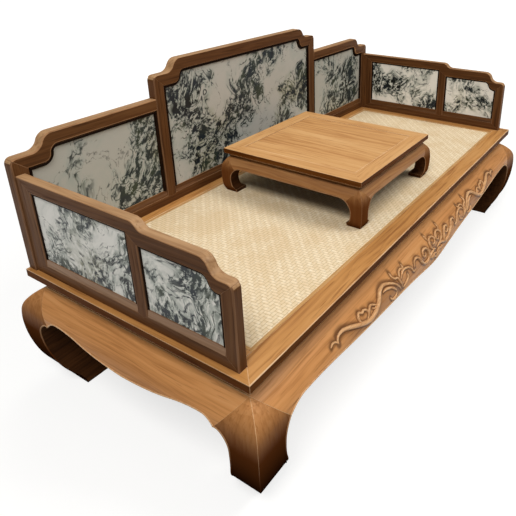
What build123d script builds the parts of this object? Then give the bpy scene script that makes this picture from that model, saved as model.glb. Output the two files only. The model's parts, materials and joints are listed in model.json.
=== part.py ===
from build123d import *
import os
from dataclasses import dataclass

# A luohan daybed with a low kang table standing on its mat.
#
# Millimetres, +Z up, origin on the floor under the middle of the bed. X runs along the bed, the
# sitter looks towards -Y and the back screen stands at +Y. The bed is a "waisted" case stand: a
# mitred seat frame with a cove below its edge, a recessed waist, swelling aprons, and legs that
# swell out under the waist and sweep back in to large hoof feet. Three stone-panelled railings
# stand on the seat frame on tenons. Short dovetail keys hook the two arms to the back screen, so
# an arm lifts straight up off its keys. The kang table has the same parts on a smaller scale.


# ------------------------------------------------------------------------------ shared fits
FIT = 0.3  # running clearance between pieces that come apart
GROOVE = 6.0  # how far a stone or a board is let into its frame
MUNTIN_POINT = 9.0  # depth of the pointed shoulder where a stile meets the bottom rail

# ------------------------------------------------------------------------------ seat frame
BED_LENGTH = 2080.0
BED_DEPTH = 876.0
SEAT_HEIGHT = 422.0
FASCIA = 27.0  # upright edge of the seat frame
COVE_DROP = 17.0  # height of the hollow below the fascia
COVE_IN = 34.0  # how far that hollow goes in
COVE_LIP = 4.0  # flat under the fascia before the hollow starts
FRONT_RAIL_WIDTH = 68.0
BACK_RAIL_WIDTH = 75.0
SIDE_RAIL_WIDTH = 90.0
LEDGE = 14.0  # rebate that carries the seat board
BOARD_THICKNESS = 11.0
MAT_THICKNESS = 4.0
MAT_BELOW_FRAME = 1.0
EDGING_WIDTH = 10.0
EDGING_PROUD = 0.6  # edging strips above the mat
BRACE_COUNT = 4
BRACE_WIDTH = 48.0
BRACE_HEIGHT = 27.0

# ------------------------------------------------------------------------------ waist
WAIST_HEIGHT = 28.0
WAIST_IN = 38.0
WAIST_THICKNESS = 16.0

# ------------------------------------------------------------------------------ railings
BACK_THICKNESS = 36.0
BACK_EDGE_GAP = 2.0  # back screen to the rear edge of the seat frame
BACK_END_GAP = 11.0  # back screen to the ends of the seat frame
WING_SHOULDER = 358.0  # heights above the seat
WING_TOP = 404.0
CENTRE_SHOULDER = 483.0
CENTRE_TOP = 526.0
CENTRE_HALF = 497.0  # half width of the tall middle section
CENTRE_STEP_IN = 60.0
OUTER_STILE = 48.0
INNER_STILE = 42.0
BACK_TOP_RAIL = 40.0
WING_STEP_IN = 66.0  # shoulder length before the step up
BACK_STEP_RUN = 70.0
BACK_OPENING_STEP_RUN = 50.0
OPENING_STEP_SHIFT = 33.0  # from the start of the outer step to the start of the opening's

ARM_THICKNESS = 30.0
ARM_EDGE_GAP = 16.0  # arm to the side edge of the seat frame
ARM_FRONT_GAP = 43.0  # arm to the front edge of the seat frame
ARM_REAR_TOP = 308.0
ARM_FRONT_TOP = 286.0
ARM_SHOULDER = 242.0
ARM_REAR_STILE = 57.0
ARM_FRONT_STILE = 40.0
ARM_MID_STILE = 38.0
ARM_MID_Y = -73.0  # middle of the mid stile
ARM_TOP_RAIL = 37.0
ARM_FRONT_RAIL = 43.0  # top rail over the front panel
ARM_STEP_IN = 38.0
ARM_STEP_RUN = 62.0
ARM_OPENING_STEP_RUN = 50.0
ARM_OPENING_STEP_IN = 7.0
ARM_MID_STEP_RUN = 46.0

BOTTOM_RAIL = 33.0
SILL_HEIGHT = 22.0
SILL_LIP = 1.0  # foot of the sill's slope to the face of the frame
CORNER_RADIUS = 20.0



@dataclass(frozen=True)
class Setting:
    """How the stones of one railing sit in its frame, behind a bead moulding."""

    frame: float  # thickness of the frame
    stone: float  # thickness of the slabs
    bead: float  # width of the moulding
    quirk: float  # dark groove on each side of the bead
    set_back: float  # crown of the bead to the face of the frame

    @property
    def raised(self) -> float:
        return (self.frame - self.stone) / 2 - self.set_back

    @property
    def backing(self) -> float:
        return self.raised / 2


BACK_SETTING = Setting(frame=BACK_THICKNESS, stone=16.0, bead=12.0, quirk=2.6, set_back=3.0)
ARM_SETTING = Setting(frame=ARM_THICKNESS, stone=18.0, bead=7.0, quirk=1.8, set_back=2.0)

# ------------------------------------------------------------------------------ tenons and keys
TENON_DEPTH = 15.0
TENON_LENGTH = 60.0
TENON_THICKNESS = 12.0
BACK_TENON_X = (-760.0, 0.0, 760.0)
ARM_TENON_Y = (-280.0, 260.0)
KEY_Z = (500.0, 640.0)  # lower end of each key
KEY_HEIGHT = 46.0
KEY_REACH = 11.0
KEY_ROOT = 11.0
KEY_TIP = 17.0
KEY_LET_IN = 12.0  # root of a key inside the back screen's stile
KEY_LIFT = 52.0  # travel that frees a key from its housing

# ------------------------------------------------------------------------------ kang table
TABLE_X = 0.0
TABLE_Y = 3.0
TABLE_LENGTH = 564.0  # along the bed
TABLE_DEPTH = 604.0
TABLE_HEIGHT = 175.0
TABLE_FASCIA = 19.0
TABLE_COVE_DROP = 8.0
TABLE_COVE_IN = 14.0
TABLE_COVE_LIP = 3.0
TABLE_RAIL_WIDTH = 58.0
TABLE_PANEL_THICKNESS = 12.0
TABLE_PANEL_DOWN = 0.5  # panel face below the frame
TABLE_PANEL_GAP = 0.8  # shrinkage gap round the panel face
TABLE_TONGUE = 5.0  # thickness of the panel's tongue in its groove
TABLE_WAIST_HEIGHT = 8.0
TABLE_WAIST_IN = 17.0
TABLE_WAIST_THICKNESS = 10.0
TABLE_BRACE_WIDTH = 40.0
TABLE_BRACE_HEIGHT = 14.0


@dataclass(frozen=True)
class Roll:
    """Outer outline of one face of a stand, as insets from the frame's edge."""

    upper: tuple  # (inset, drop below the apron's top) points from the belly up to the shoulder
    belly: float  # how far the face swells past the frame's edge
    lower: tuple  # (inset, height) points from the belly down to the heel
    heel: float


@dataclass(frozen=True)
class LegView:
    """Inner outline of a leg in one view, its points given as (inset, height)."""

    toe: float
    toe_height: float
    down: tuple  # from the neck down the shank
    up: tuple  # from the neck up to the seam


@dataclass(frozen=True)
class Swell:
    """One swelling stand: its plan, its levels and the outlines that legs and aprons share.

    Heights of leg points are given for a stand whose seam lies at drawn_height above the floor,
    and follow the seam when the stand gets taller or lower.
    """

    centre: tuple  # middle of the stand in plan
    length: float
    depth: float
    floor: float
    apron_top: float
    post_top: float
    post_in: float  # outer faces of the post above the aprons
    post_back: float  # its inner faces
    shoulder_in: float  # apron face at the apron's top edge
    belly_drop: float
    front_roll: Roll  # outline of the front and back faces
    end_roll: Roll  # outline of the two ends
    heel_lip: float  # upright lip at the floor
    apron_back: tuple  # (inset at top, inset at bottom, drop of the hollow)
    seam: tuple  # (inset, drop) where the shoulder seam meets the arch
    drawn_height: float

    @property
    def left(self) -> float:
        return self.centre[0] - self.length / 2

    @property
    def front(self) -> float:
        return self.centre[1] - self.depth / 2

    @property
    def seam_z(self) -> float:
        return self.apron_top - self.seam[1]

    def level(self, height: float) -> float:
        """Where a point drawn at this height above the floor lies."""
        return self.floor + height * (self.seam_z - self.floor) / self.drawn_height


SEAT_UNDERSIDE = SEAT_HEIGHT - FASCIA - COVE_DROP
APRON_TOP = SEAT_UNDERSIDE - WAIST_HEIGHT
BED = Swell(
    centre=(0.0, 0.0),
    length=BED_LENGTH,
    depth=BED_DEPTH,
    floor=0.0,
    apron_top=APRON_TOP,
    post_top=SEAT_UNDERSIDE,
    post_in=WAIST_IN + WAIST_THICKNESS,
    post_back=112.0,
    shoulder_in=30.0,
    belly_drop=115.0,
    front_roll=Roll(
        upper=((-35.0, 74.0), (-19.0, 39.0)),
        belly=38.0,
        lower=((-23.0, 115.0), (13.0, 40.0)),
        heel=27.0,
    ),
    end_roll=Roll(
        upper=((-27.0, 74.0), (-12.0, 39.0)),
        belly=30.0,
        lower=((-13.0, 115.0), (27.0, 40.0)),
        heel=43.0,
    ),
    heel_lip=12.0,
    apron_back=(60.0, 10.0, 96.0),
    seam=(103.0, 88.0),
    drawn_height=262.0,
)
LEG_FRONT_VIEW = LegView(
    toe=158.0,
    toe_height=5.0,
    down=((79.0, 205.0), (95.0, 128.0), (133.0, 50.0)),
    up=((85.0, 236.0),),
)
LEG_SIDE_VIEW = LegView(
    toe=126.0,
    toe_height=5.0,
    down=((56.0, 214.0), (68.0, 132.0), (96.0, 56.0)),
    up=((83.0, 260.0),),
)
FRONT_ARCH = (170.0, 67.0)  # apex of the front arch: inset, drop below the apron's top
FRONT_FLANK = ((330.0, 75.5), (700.0, 107.0), (960.0, 136.0))  # its slope to the middle
FRONT_DROOP = 143.0  # drop at the middle of the front apron
SIDE_ARCH = (143.0, 67.0)
SIDE_FLANK = ((250.0, 80.0), (345.0, 97.0))
SIDE_DROOP = 104.0

MAT_TOP = SEAT_HEIGHT - MAT_BELOW_FRAME
TABLE_FLOOR = MAT_TOP + FIT
TABLE_TOP = TABLE_FLOOR + TABLE_HEIGHT
TABLE_UNDERSIDE = TABLE_TOP - TABLE_FASCIA - TABLE_COVE_DROP
TABLE_ROLL = Roll(
    upper=((-8.0, 34.0), (-1.0, 18.0)),
    belly=11.0,
    lower=((-8.0, 24.0),),
    heel=0.0,
)
TABLE = Swell(
    centre=(TABLE_X, TABLE_Y),
    length=TABLE_LENGTH,
    depth=TABLE_DEPTH,
    floor=TABLE_FLOOR,
    apron_top=TABLE_UNDERSIDE - TABLE_WAIST_HEIGHT,
    post_top=TABLE_UNDERSIDE,
    post_in=TABLE_WAIST_IN + TABLE_WAIST_THICKNESS,
    post_back=50.0,
    shoulder_in=14.0,
    belly_drop=66.0,
    front_roll=TABLE_ROLL,
    end_roll=TABLE_ROLL,
    heel_lip=4.0,
    apron_back=(32.0, 12.0, 34.0),
    seam=(56.0, 46.0),
    drawn_height=94.0,
)
TABLE_LEG_VIEW = LegView(
    toe=54.0,
    toe_height=13.0,
    down=((35.0, 54.0), (38.0, 29.0)),
    up=(),
)
TABLE_ARCH = (84.0, 37.0)

# ------------------------------------------------------------------------------ derived places
SEAT_X = BED_LENGTH / 2
SEAT_Y = BED_DEPTH / 2
RAIL_FOOT = SEAT_HEIGHT + FIT  # underside of the three railings
BACK_REAR_Y = SEAT_Y - BACK_EDGE_GAP
BACK_FRONT_Y = BACK_REAR_Y - BACK_THICKNESS
BACK_X = SEAT_X - BACK_END_GAP
ARM_X = SEAT_X - ARM_EDGE_GAP  # outer face of an arm
ARM_REAR_Y = BACK_FRONT_Y - FIT
ARM_FRONT_Y = -SEAT_Y + ARM_FRONT_GAP
OPENING_FOOT = SEAT_HEIGHT + BOTTOM_RAIL
SILL_TOP = OPENING_FOOT + SILL_HEIGHT
FIELD_X = SEAT_X - SIDE_RAIL_WIDTH  # seat opening inside the frame
FIELD_DEPTH = BED_DEPTH - FRONT_RAIL_WIDTH - BACK_RAIL_WIDTH
FIELD_Y = (FRONT_RAIL_WIDTH - BACK_RAIL_WIDTH) / 2
LEDGE_TOP = MAT_TOP - MAT_THICKNESS - BOARD_THICKNESS


# ============================================================================== shared forms
def s_curve(start: tuple, end: tuple):
    """Cloud-shoulder step: two equal arcs that leave and arrive level."""
    middle = ((start[0] + end[0]) / 2, (start[1] + end[1]) / 2)
    turn = 1.0 if end[0] > start[0] else -1.0
    TangentArc(start, middle, tangent=(turn, 0.0))
    TangentArc(end, middle, tangent=(-turn, 0.0))


def arcs(points: list, tangent: tuple):
    """Smooth chain of arcs through points, leaving the first one along the tangent."""
    for start, end in zip(points, points[1:]):
        arc = TangentArc(start, end, tangent=tangent)
        tangent = arc % 1


def polygon(*corners: tuple) -> Sketch:
    """Flat region with straight sides, in sketch coordinates."""
    with BuildSketch(Plane.XY, mode=Mode.PRIVATE) as region:
        with BuildLine():
            Polyline(*corners, close=True)
        make_face()
    return region.sketch


def border_plan(half_x: float, half_y: float, side: str, width: float, centre=(0.0, 0.0)) -> Sketch:
    """Plan of one strip of a mitred border whose outer edges lie at half_x and half_y."""
    cx, cy = centre
    inner_x = half_x - width
    inner_y = half_y - width
    turn = -1 if side in ("front", "left") else 1
    if side in ("front", "back"):
        corners = [(-half_x, half_y), (half_x, half_y), (inner_x, inner_y), (-inner_x, inner_y)]
        return polygon(*((cx + x, cy + turn * y) for x, y in corners))
    corners = [(half_x, -half_y), (half_x, half_y), (inner_x, inner_y), (inner_x, -inner_y)]
    return polygon(*((cx + turn * x, cy + y) for x, y in corners))


def mirrored(piece: BuildPart, plane: Plane) -> BuildPart:
    """The same piece on the other side of a plane."""
    with BuildPart() as copy:
        mirror(piece.part, about=plane)
    return copy


# ============================================================================== swelling stands
def swell_outline(stand: Swell, edge: float, roll: Roll):
    """Outer outline of legs and aprons, from the shoulder down to the floor.

    It is drawn in the current BuildLine, local X being the inset from the frame's edge. Arcs roll
    up from the belly to the shoulder under the waist, and sweep down and in to the heel.
    """
    top = stand.apron_top
    belly = (edge - roll.belly, top - stand.belly_drop)
    shoulder = (edge + stand.shoulder_in, top)
    heel = (edge + roll.heel, stand.floor + stand.heel_lip)
    upper = [(edge + inset, top - drop) for inset, drop in roll.upper]
    lower = [(edge + inset, stand.level(height)) for inset, height in roll.lower]
    arcs([belly, *upper, shoulder], (0.0, 1.0))
    arcs([belly, *lower, heel], (0.0, -1.0))
    Line(heel, (heel[0], stand.floor))


def leg_view(stand: Swell, edge: float, roll: Roll, inner: LegView) -> Sketch:
    """One view of a leg and its post: swell on the outside, hoof and arch on the inside."""
    floor = stand.floor
    toe = (edge + inner.toe, floor + inner.toe_height)
    down = [(edge + inset, stand.level(height)) for inset, height in inner.down]
    up = [(edge + inset, stand.level(height)) for inset, height in inner.up]
    seam = (edge + stand.seam[0], stand.seam_z)
    back = edge + max(stand.post_back, stand.seam[0] + 1.0)
    with BuildSketch(Plane.XY, mode=Mode.PRIVATE) as view:
        with BuildLine():
            swell_outline(stand, edge, roll)
            Polyline((edge + roll.heel, floor), (toe[0], floor), toe)
            arcs([*down, toe], (0.0, -1.0))
            arcs([down[0], *up, seam], (0.0, 1.0))
            Polyline(
                seam,
                (seam[0], stand.apron_top - back + seam[0] - 1.0),
                (back, stand.apron_top - 1.0),
                (back, stand.post_top),
                (edge + stand.post_in, stand.post_top),
                (edge + stand.post_in, stand.apron_top),
                (edge + stand.shoulder_in, stand.apron_top),
            )
        make_face()
    return view.sketch


def crossed_leg(stand: Swell, front_view: Sketch, side_view: Sketch, aprons: tuple) -> BuildPart:
    """Front left leg: the front view crossed with the side view, less the two aprons."""
    with BuildPart() as leg:
        with BuildSketch(Plane.XZ):
            add(front_view)
        extrude(amount=stand.length, both=True)
        with BuildSketch(Plane.YZ):
            add(side_view)
        extrude(amount=stand.length, both=True, mode=Mode.INTERSECT)
        for piece in aprons:
            add(piece.part, mode=Mode.SUBTRACT)
    return leg


def apron_section(stand: Swell, edge: float, roll: Roll, waist: tuple) -> Sketch:
    """Cross-section of an apron, with the waist above it where that is worked in one piece."""
    top_in, low_in, hollow = stand.apron_back
    top = stand.apron_top
    with BuildSketch(Plane.XY, mode=Mode.PRIVATE) as section:
        with BuildLine():
            swell_outline(stand, edge, roll)
            Polyline(
                (edge + roll.heel, stand.floor),
                (edge + roll.heel + low_in, stand.floor),
                (edge + low_in, top - stand.belly_drop),
                (edge + low_in, top - hollow),
                (edge + top_in, top),
                (edge + stand.shoulder_in, top),
            )
        make_face()
        if waist is not None:
            add(
                polygon(
                    (edge + waist[0], top),
                    (edge + waist[1], top),
                    (edge + waist[1], stand.post_top),
                    (edge + waist[0], stand.post_top),
                )
            )
    return section.sketch


def arch_face(stand: Swell, middle: float, half: float, arch: tuple, flank: tuple,
              droop: float) -> Sketch:
    """Face outline of an apron: straight above, and below a small arch at each end with a long
    slope down to the drooping middle."""
    top = stand.apron_top
    with BuildSketch(Plane.XY, mode=Mode.PRIVATE) as face:
        with BuildLine():
            for turn in (-1.0, 1.0):
                seam = (middle + turn * (half - stand.seam[0]), stand.seam_z)
                apex = (middle + turn * (half - arch[0]), top - arch[1])
                slope = [(middle + turn * (half - inset), top - drop) for inset, drop in flank]
                TangentArc(apex, seam, tangent=(turn, 0.0))
                if slope:
                    arcs([apex, *slope, (middle, top - droop)], (-turn, 0.0))
                else:
                    Line(apex, (middle, top - droop))
            Polyline(
                (middle + half - stand.seam[0], stand.seam_z),
                (middle + half, stand.seam_z),
                (middle + half, stand.post_top + 1.0),
                (middle - half, stand.post_top + 1.0),
                (middle - half, stand.seam_z),
                (middle - half + stand.seam[0], stand.seam_z),
            )
        make_face()
    return face.sketch


def apron(stand: Swell, side: str, arch: tuple, flank: tuple, droop: float,
          waist: tuple = None) -> BuildPart:
    """Front or left apron, with its shoulder seams.

    At each end the seam plane is square to the apron's face, so the seam is straight to the eye,
    and a second plane on the plan diagonal lets the two aprons of a corner meet behind the seams.
    """
    along_x = side == "front"
    half = (stand.length if along_x else stand.depth) / 2
    middle = stand.centre[0] if along_x else stand.centre[1]
    if along_x:
        section = apron_section(stand, stand.front, stand.front_roll, waist)
    else:
        section = apron_section(stand, stand.left, stand.end_roll, waist)
    face = arch_face(stand, middle, half, arch, flank, droop)
    section_plane = Plane.YZ.offset(middle) if along_x else Plane.XZ.offset(-middle)
    run = stand.seam[0] - stand.shoulder_in
    corner_x = stand.length / 2 - stand.shoulder_in
    corner_y = stand.depth / 2 - stand.shoulder_in
    with BuildPart() as piece:
        with BuildSketch(section_plane):
            add(section)
        extrude(amount=half, both=True)
        with BuildSketch(Plane.XZ if along_x else Plane.YZ):
            add(face)
        extrude(amount=stand.length, both=True, mode=Mode.INTERSECT)
        for turn in (-1.0, 1.0):
            if along_x:
                corner = (stand.centre[0] + turn * corner_x, stand.centre[1] - corner_y, stand.apron_top)
                seam_normal = (-turn * stand.seam[1], 0.0, run)
                mitre_normal = (-turn, -1.0, 0.0)
            else:
                corner = (stand.centre[0] - corner_x, stand.centre[1] + turn * corner_y, stand.apron_top)
                seam_normal = (0.0, -turn * stand.seam[1], run)
                mitre_normal = (-1.0, -turn, 0.0)
            split(bisect_by=Plane(origin=corner, z_dir=seam_normal), keep=Keep.TOP)
            split(bisect_by=Plane(origin=corner, z_dir=mitre_normal), keep=Keep.TOP)
    return piece


# ============================================================================== seat frame
def edge_section(edge: float, turn: float, top: float, fascia: float, cove: tuple, width: float,
                 ledge: float) -> Sketch:
    """Ice-plate edge of a frame rail: upright fascia, a cove in to the underside, and a rebate
    behind for the board when there is a ledge."""
    cove_in, cove_drop, lip = cove
    underside = top - fascia - cove_drop
    with BuildSketch(Plane.XY, mode=Mode.PRIVATE) as section:
        with BuildLine():
            if ledge:
                Polyline(
                    (edge + turn * cove_in, underside),
                    (edge + turn * (width + ledge), underside),
                    (edge + turn * (width + ledge), LEDGE_TOP),
                    (edge + turn * width, LEDGE_TOP),
                    (edge + turn * width, top),
                )
            else:
                Polyline(
                    (edge + turn * cove_in, underside),
                    (edge + turn * width, underside),
                    (edge + turn * width, top),
                )
            Polyline(
                (edge + turn * width, top),
                (edge, top),
                (edge, top - fascia),
                (edge + turn * lip, top - fascia),
            )
            TangentArc(
                (edge + turn * lip, top - fascia),
                (edge + turn * cove_in, underside),
                tangent=(turn, 0.0),
            )
        make_face()
    return section.sketch


SEAT_COVE = (COVE_IN, COVE_DROP, COVE_LIP)


def long_rail(side: str, width: float) -> BuildPart:
    """Front or back rail of the seat frame, mitred at both ends."""
    turn = 1.0 if side == "front" else -1.0
    section = edge_section(-turn * SEAT_Y, turn, SEAT_HEIGHT, FASCIA, SEAT_COVE, width, LEDGE)
    plan = border_plan(SEAT_X, SEAT_Y, side, width + LEDGE)
    with BuildPart() as rail:
        with BuildSketch(Plane.YZ):
            add(section)
        extrude(amount=SEAT_X, both=True)
        with BuildSketch(Plane.XY.offset(SEAT_UNDERSIDE)):
            add(plan)
        extrude(amount=FASCIA + COVE_DROP, mode=Mode.INTERSECT)
    return rail


def tenons(places: tuple, along_x: bool, clearance: float = 0.0) -> BuildPart:
    """Railing tenons at the given places in plan, or their mortises when given a clearance."""
    long = TENON_LENGTH + 2 * clearance
    short = TENON_THICKNESS + 2 * clearance
    with BuildPart() as row:
        with BuildSketch(Plane.XY.offset(RAIL_FOOT)):
            with Locations(*places):
                Rectangle(long if along_x else short, short if along_x else long)
        extrude(amount=-(TENON_DEPTH + clearance))
    return row


BACK_TENON_Y = BACK_REAR_Y - BACK_THICKNESS / 2
ARM_TENON_X = ARM_X - ARM_THICKNESS / 2
BACK_TENONS = tuple((x, BACK_TENON_Y) for x in BACK_TENON_X)
LEFT_ARM_TENONS = tuple((-ARM_TENON_X, y) for y in ARM_TENON_Y)

seat_front_rail = long_rail("front", FRONT_RAIL_WIDTH)
back_rail_blank = long_rail("back", BACK_RAIL_WIDTH)

with BuildPart() as seat_back_rail:
    add(back_rail_blank.part)
    add(tenons(BACK_TENONS, True, FIT).part, mode=Mode.SUBTRACT)

side_rail_section = edge_section(-SEAT_X, 1.0, SEAT_HEIGHT, FASCIA, SEAT_COVE, SIDE_RAIL_WIDTH, LEDGE)
with BuildPart() as seat_left_rail:
    with BuildSketch(Plane.XZ):
        add(side_rail_section)
    extrude(amount=SEAT_Y, both=True)
    with BuildSketch(Plane.XY.offset(SEAT_UNDERSIDE)):
        add(border_plan(SEAT_X, SEAT_Y, "front", FRONT_RAIL_WIDTH))
        add(border_plan(SEAT_X, SEAT_Y, "back", BACK_RAIL_WIDTH))
    extrude(amount=FASCIA + COVE_DROP, mode=Mode.SUBTRACT)
    add(seat_front_rail.part, mode=Mode.SUBTRACT)
    add(back_rail_blank.part, mode=Mode.SUBTRACT)
    add(tenons(LEFT_ARM_TENONS, False, FIT).part, mode=Mode.SUBTRACT)

seat_right_rail = mirrored(seat_left_rail, Plane.YZ)

with BuildPart() as seat_board:
    with BuildSketch(Plane.XY.offset(LEDGE_TOP)):
        with Locations((0, FIELD_Y)):
            Rectangle(2 * FIELD_X, FIELD_DEPTH)
    extrude(amount=BOARD_THICKNESS)

with BuildPart() as seat_mat:
    with BuildSketch(Plane.XY.offset(MAT_TOP - MAT_THICKNESS)):
        with Locations((0, FIELD_Y)):
            Rectangle(2 * (FIELD_X - EDGING_WIDTH - FIT), FIELD_DEPTH - 2 * (EDGING_WIDTH + FIT))
    extrude(amount=MAT_THICKNESS)

with BuildPart() as mat_edging:
    with BuildSketch(Plane.XY.offset(MAT_TOP - MAT_THICKNESS)):
        with Locations((0, FIELD_Y)):
            Rectangle(2 * FIELD_X, FIELD_DEPTH)
            Rectangle(2 * (FIELD_X - EDGING_WIDTH), FIELD_DEPTH - 2 * EDGING_WIDTH, mode=Mode.SUBTRACT)
    extrude(amount=MAT_THICKNESS + EDGING_PROUD)

with BuildPart() as seat_braces:
    with BuildSketch(Plane.XY.offset(LEDGE_TOP)):
        with Locations((0, FIELD_Y)):
            with GridLocations(2 * FIELD_X / (BRACE_COUNT + 1), 0, BRACE_COUNT, 1):
                Rectangle(BRACE_WIDTH, FIELD_DEPTH - 2 * LEDGE)
    extrude(amount=-BRACE_HEIGHT)

with BuildPart() as seat_waist:
    with BuildSketch(Plane.XY.offset(APRON_TOP)):
        Rectangle(BED_LENGTH - 2 * WAIST_IN, BED_DEPTH - 2 * WAIST_IN)
        Rectangle(BED_LENGTH - 2 * BED.post_in, BED_DEPTH - 2 * BED.post_in, mode=Mode.SUBTRACT)
    extrude(amount=WAIST_HEIGHT)

# ============================================================================== bed stand
front_apron = apron(BED, "front", FRONT_ARCH, FRONT_FLANK, FRONT_DROOP)
left_apron = apron(BED, "left", SIDE_ARCH, SIDE_FLANK, SIDE_DROOP)
back_apron = mirrored(front_apron, Plane.XZ)
right_apron = mirrored(left_apron, Plane.YZ)
front_left_leg = crossed_leg(
    BED,
    leg_view(BED, BED.left, BED.end_roll, LEG_FRONT_VIEW),
    leg_view(BED, BED.front, BED.front_roll, LEG_SIDE_VIEW),
    (front_apron, left_apron),
)
front_right_leg = mirrored(front_left_leg, Plane.YZ)
back_left_leg = mirrored(front_left_leg, Plane.XZ)
back_right_leg = mirrored(back_left_leg, Plane.YZ)


# ============================================================================== railings
def outline(points: tuple, steps: tuple = ()) -> Sketch:
    """Railing outline through corner points; the segments that start at a listed point are steps."""
    with BuildSketch(Plane.XY, mode=Mode.PRIVATE) as shape:
        with BuildLine():
            for index, (start, end) in enumerate(zip(points, points[1:] + points[:1])):
                if index in steps:
                    s_curve(start, end)
                else:
                    Line(start, end)
        make_face()
    return shape.sketch


def rounded_corner(shape: Sketch, *corners: tuple) -> Sketch:
    """The same outline with some of its corners rounded off."""
    with BuildSketch(Plane.XY, mode=Mode.PRIVATE) as result:
        add(shape)
        for corner in corners:
            fillet(result.vertices().sort_by_distance((*corner, 0))[0], radius=CORNER_RADIUS)
    return result.sketch


def ring(opening: Sketch, outer: float, inner: float) -> Sketch:
    """Band round the inside of an opening, above its sill."""
    bands = []
    for amount in (outer, inner):
        with BuildSketch(Plane.XY, mode=Mode.PRIVATE) as inset:
            add(opening)
            if amount:
                offset(amount=-amount, kind=Kind.INTERSECTION, mode=Mode.REPLACE)
        bands.append(inset.sketch)
    with BuildSketch(Plane.XY, mode=Mode.PRIVATE) as result:
        add(bands[0])
        add(bands[1], mode=Mode.SUBTRACT)
        with Locations((0, SILL_TOP + BED_DEPTH)):
            Rectangle(2 * BED_LENGTH, 2 * BED_DEPTH, mode=Mode.INTERSECT)
    return result.sketch


def stone_panel(opening: Sketch, middle: Plane, thickness: float) -> BuildPart:
    """Stone slab let into the grooves of its frame all round."""
    with BuildPart() as slab:
        with BuildSketch(middle.offset(-thickness / 2)):
            add(opening)
            offset(amount=GROOVE, kind=Kind.INTERSECTION, mode=Mode.REPLACE)
        extrude(amount=thickness)
    return slab


def beading(openings: tuple, middle: Plane, setting: Setting, faces: tuple) -> BuildPart:
    """Beaded strips round the stones of one railing, on the faces given by their signs along
    the normal of its middle plane."""
    backings = [ring(opening, 0.0, setting.bead) for opening in openings]
    beads = [ring(opening, setting.quirk, setting.bead - setting.quirk) for opening in openings]
    with BuildPart() as strips:
        for turn in faces:
            for bands, height in ((backings, setting.backing), (beads, setting.raised)):
                with BuildSketch(middle.offset(turn * setting.stone / 2)):
                    for band in bands:
                        add(band)
                extrude(amount=turn * height)
    return strips


def member(face: Sketch, region: Sketch, middle: Plane, thickness: float, stones: tuple) -> BuildPart:
    """One frame member: its region of the railing's face, grooved for the stones."""
    with BuildPart() as piece:
        with BuildSketch(middle.offset(-thickness / 2)):
            add(face)
            add(region, mode=Mode.INTERSECT)
        extrude(amount=thickness)
        for slab in stones:
            add(slab.part, mode=Mode.SUBTRACT)
    return piece


def sills(section_plane: Plane, centre: float, setting: Setting, spans: tuple) -> BuildPart:
    """Sloping sill strips at the foot of each stone, on both faces.

    The section plane is upright and square to the railing; spans are given along its normal.
    """
    strips = []
    for turn in (-1.0, 1.0):
        face = centre + turn * (setting.frame / 2 - SILL_LIP)
        stone = centre + turn * setting.stone / 2
        strips.append(
            polygon(
                (face, OPENING_FOOT),
                (stone, OPENING_FOOT),
                (stone, SILL_TOP),
                (stone + turn * setting.backing, SILL_TOP),
            )
        )
    with BuildPart() as slopes:
        for start, end in spans:
            with BuildSketch(section_plane.offset(start)):
                for strip in strips:
                    add(strip)
            extrude(amount=end - start)
    return slopes


def stile_foot(start: float, end: float) -> list:
    """The pointed shoulder of a stile, as a notch in the top edge of the bottom rail."""
    return [
        (start, OPENING_FOOT),
        ((start + end) / 2, OPENING_FOOT - MUNTIN_POINT),
        (end, OPENING_FOOT),
    ]


def dovetail(x: float, clearance: float, root: float) -> Sketch:
    """Plan of a key that points to the front, its root reaching back into the stile."""
    half_root = KEY_ROOT / 2 + clearance
    half_tip = KEY_TIP / 2 + clearance
    tip_y = BACK_FRONT_Y - KEY_REACH - clearance
    return polygon(
        (x - half_root, BACK_FRONT_Y + root),
        (x - half_root, BACK_FRONT_Y),
        (x - half_tip, tip_y),
        (x + half_tip, tip_y),
        (x + half_root, BACK_FRONT_Y),
        (x + half_root, BACK_FRONT_Y + root),
    )


# ------------------------------------------------------------------------------ back screen
BACK_MIDDLE = Plane.XZ.offset(-(BACK_REAR_Y - BACK_THICKNESS / 2))
WING_Z = SEAT_HEIGHT + WING_SHOULDER
WING_TOP_Z = SEAT_HEIGHT + WING_TOP
CENTRE_Z = SEAT_HEIGHT + CENTRE_SHOULDER
CENTRE_TOP_Z = SEAT_HEIGHT + CENTRE_TOP
WING_IN = BACK_X - OUTER_STILE  # half widths at the stiles' inner edges
CENTRE_IN = CENTRE_HALF - INNER_STILE
WING_STEP = BACK_X - WING_STEP_IN
CENTRE_STEP = CENTRE_HALF - CENTRE_STEP_IN
WING_NOTCH = WING_STEP - OPENING_STEP_SHIFT
CENTRE_NOTCH = CENTRE_STEP - OPENING_STEP_SHIFT

left_half = (
    (-BACK_X, RAIL_FOOT),
    (-BACK_X, WING_Z),
    (-WING_STEP, WING_Z),
    (-WING_STEP + BACK_STEP_RUN, WING_TOP_Z),
    (-CENTRE_HALF, WING_TOP_Z),
    (-CENTRE_HALF, CENTRE_Z),
    (-CENTRE_STEP, CENTRE_Z),
    (-CENTRE_STEP + BACK_STEP_RUN, CENTRE_TOP_Z),
)
right_half = tuple((-x, z) for x, z in reversed(left_half))
back_outline = rounded_corner(
    outline(left_half + right_half, (2, 6, 8, 12)),
    (-BACK_X, WING_Z),
    (-CENTRE_HALF, CENTRE_Z),
    (BACK_X, WING_Z),
    (CENTRE_HALF, CENTRE_Z),
)
left_wing = (
    (-WING_IN, OPENING_FOOT),
    (-WING_IN, WING_Z - BACK_TOP_RAIL),
    (-WING_NOTCH, WING_Z - BACK_TOP_RAIL),
    (-WING_NOTCH + BACK_OPENING_STEP_RUN, WING_TOP_Z - BACK_TOP_RAIL),
    (-CENTRE_HALF, WING_TOP_Z - BACK_TOP_RAIL),
    (-CENTRE_HALF, OPENING_FOOT),
)
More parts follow.
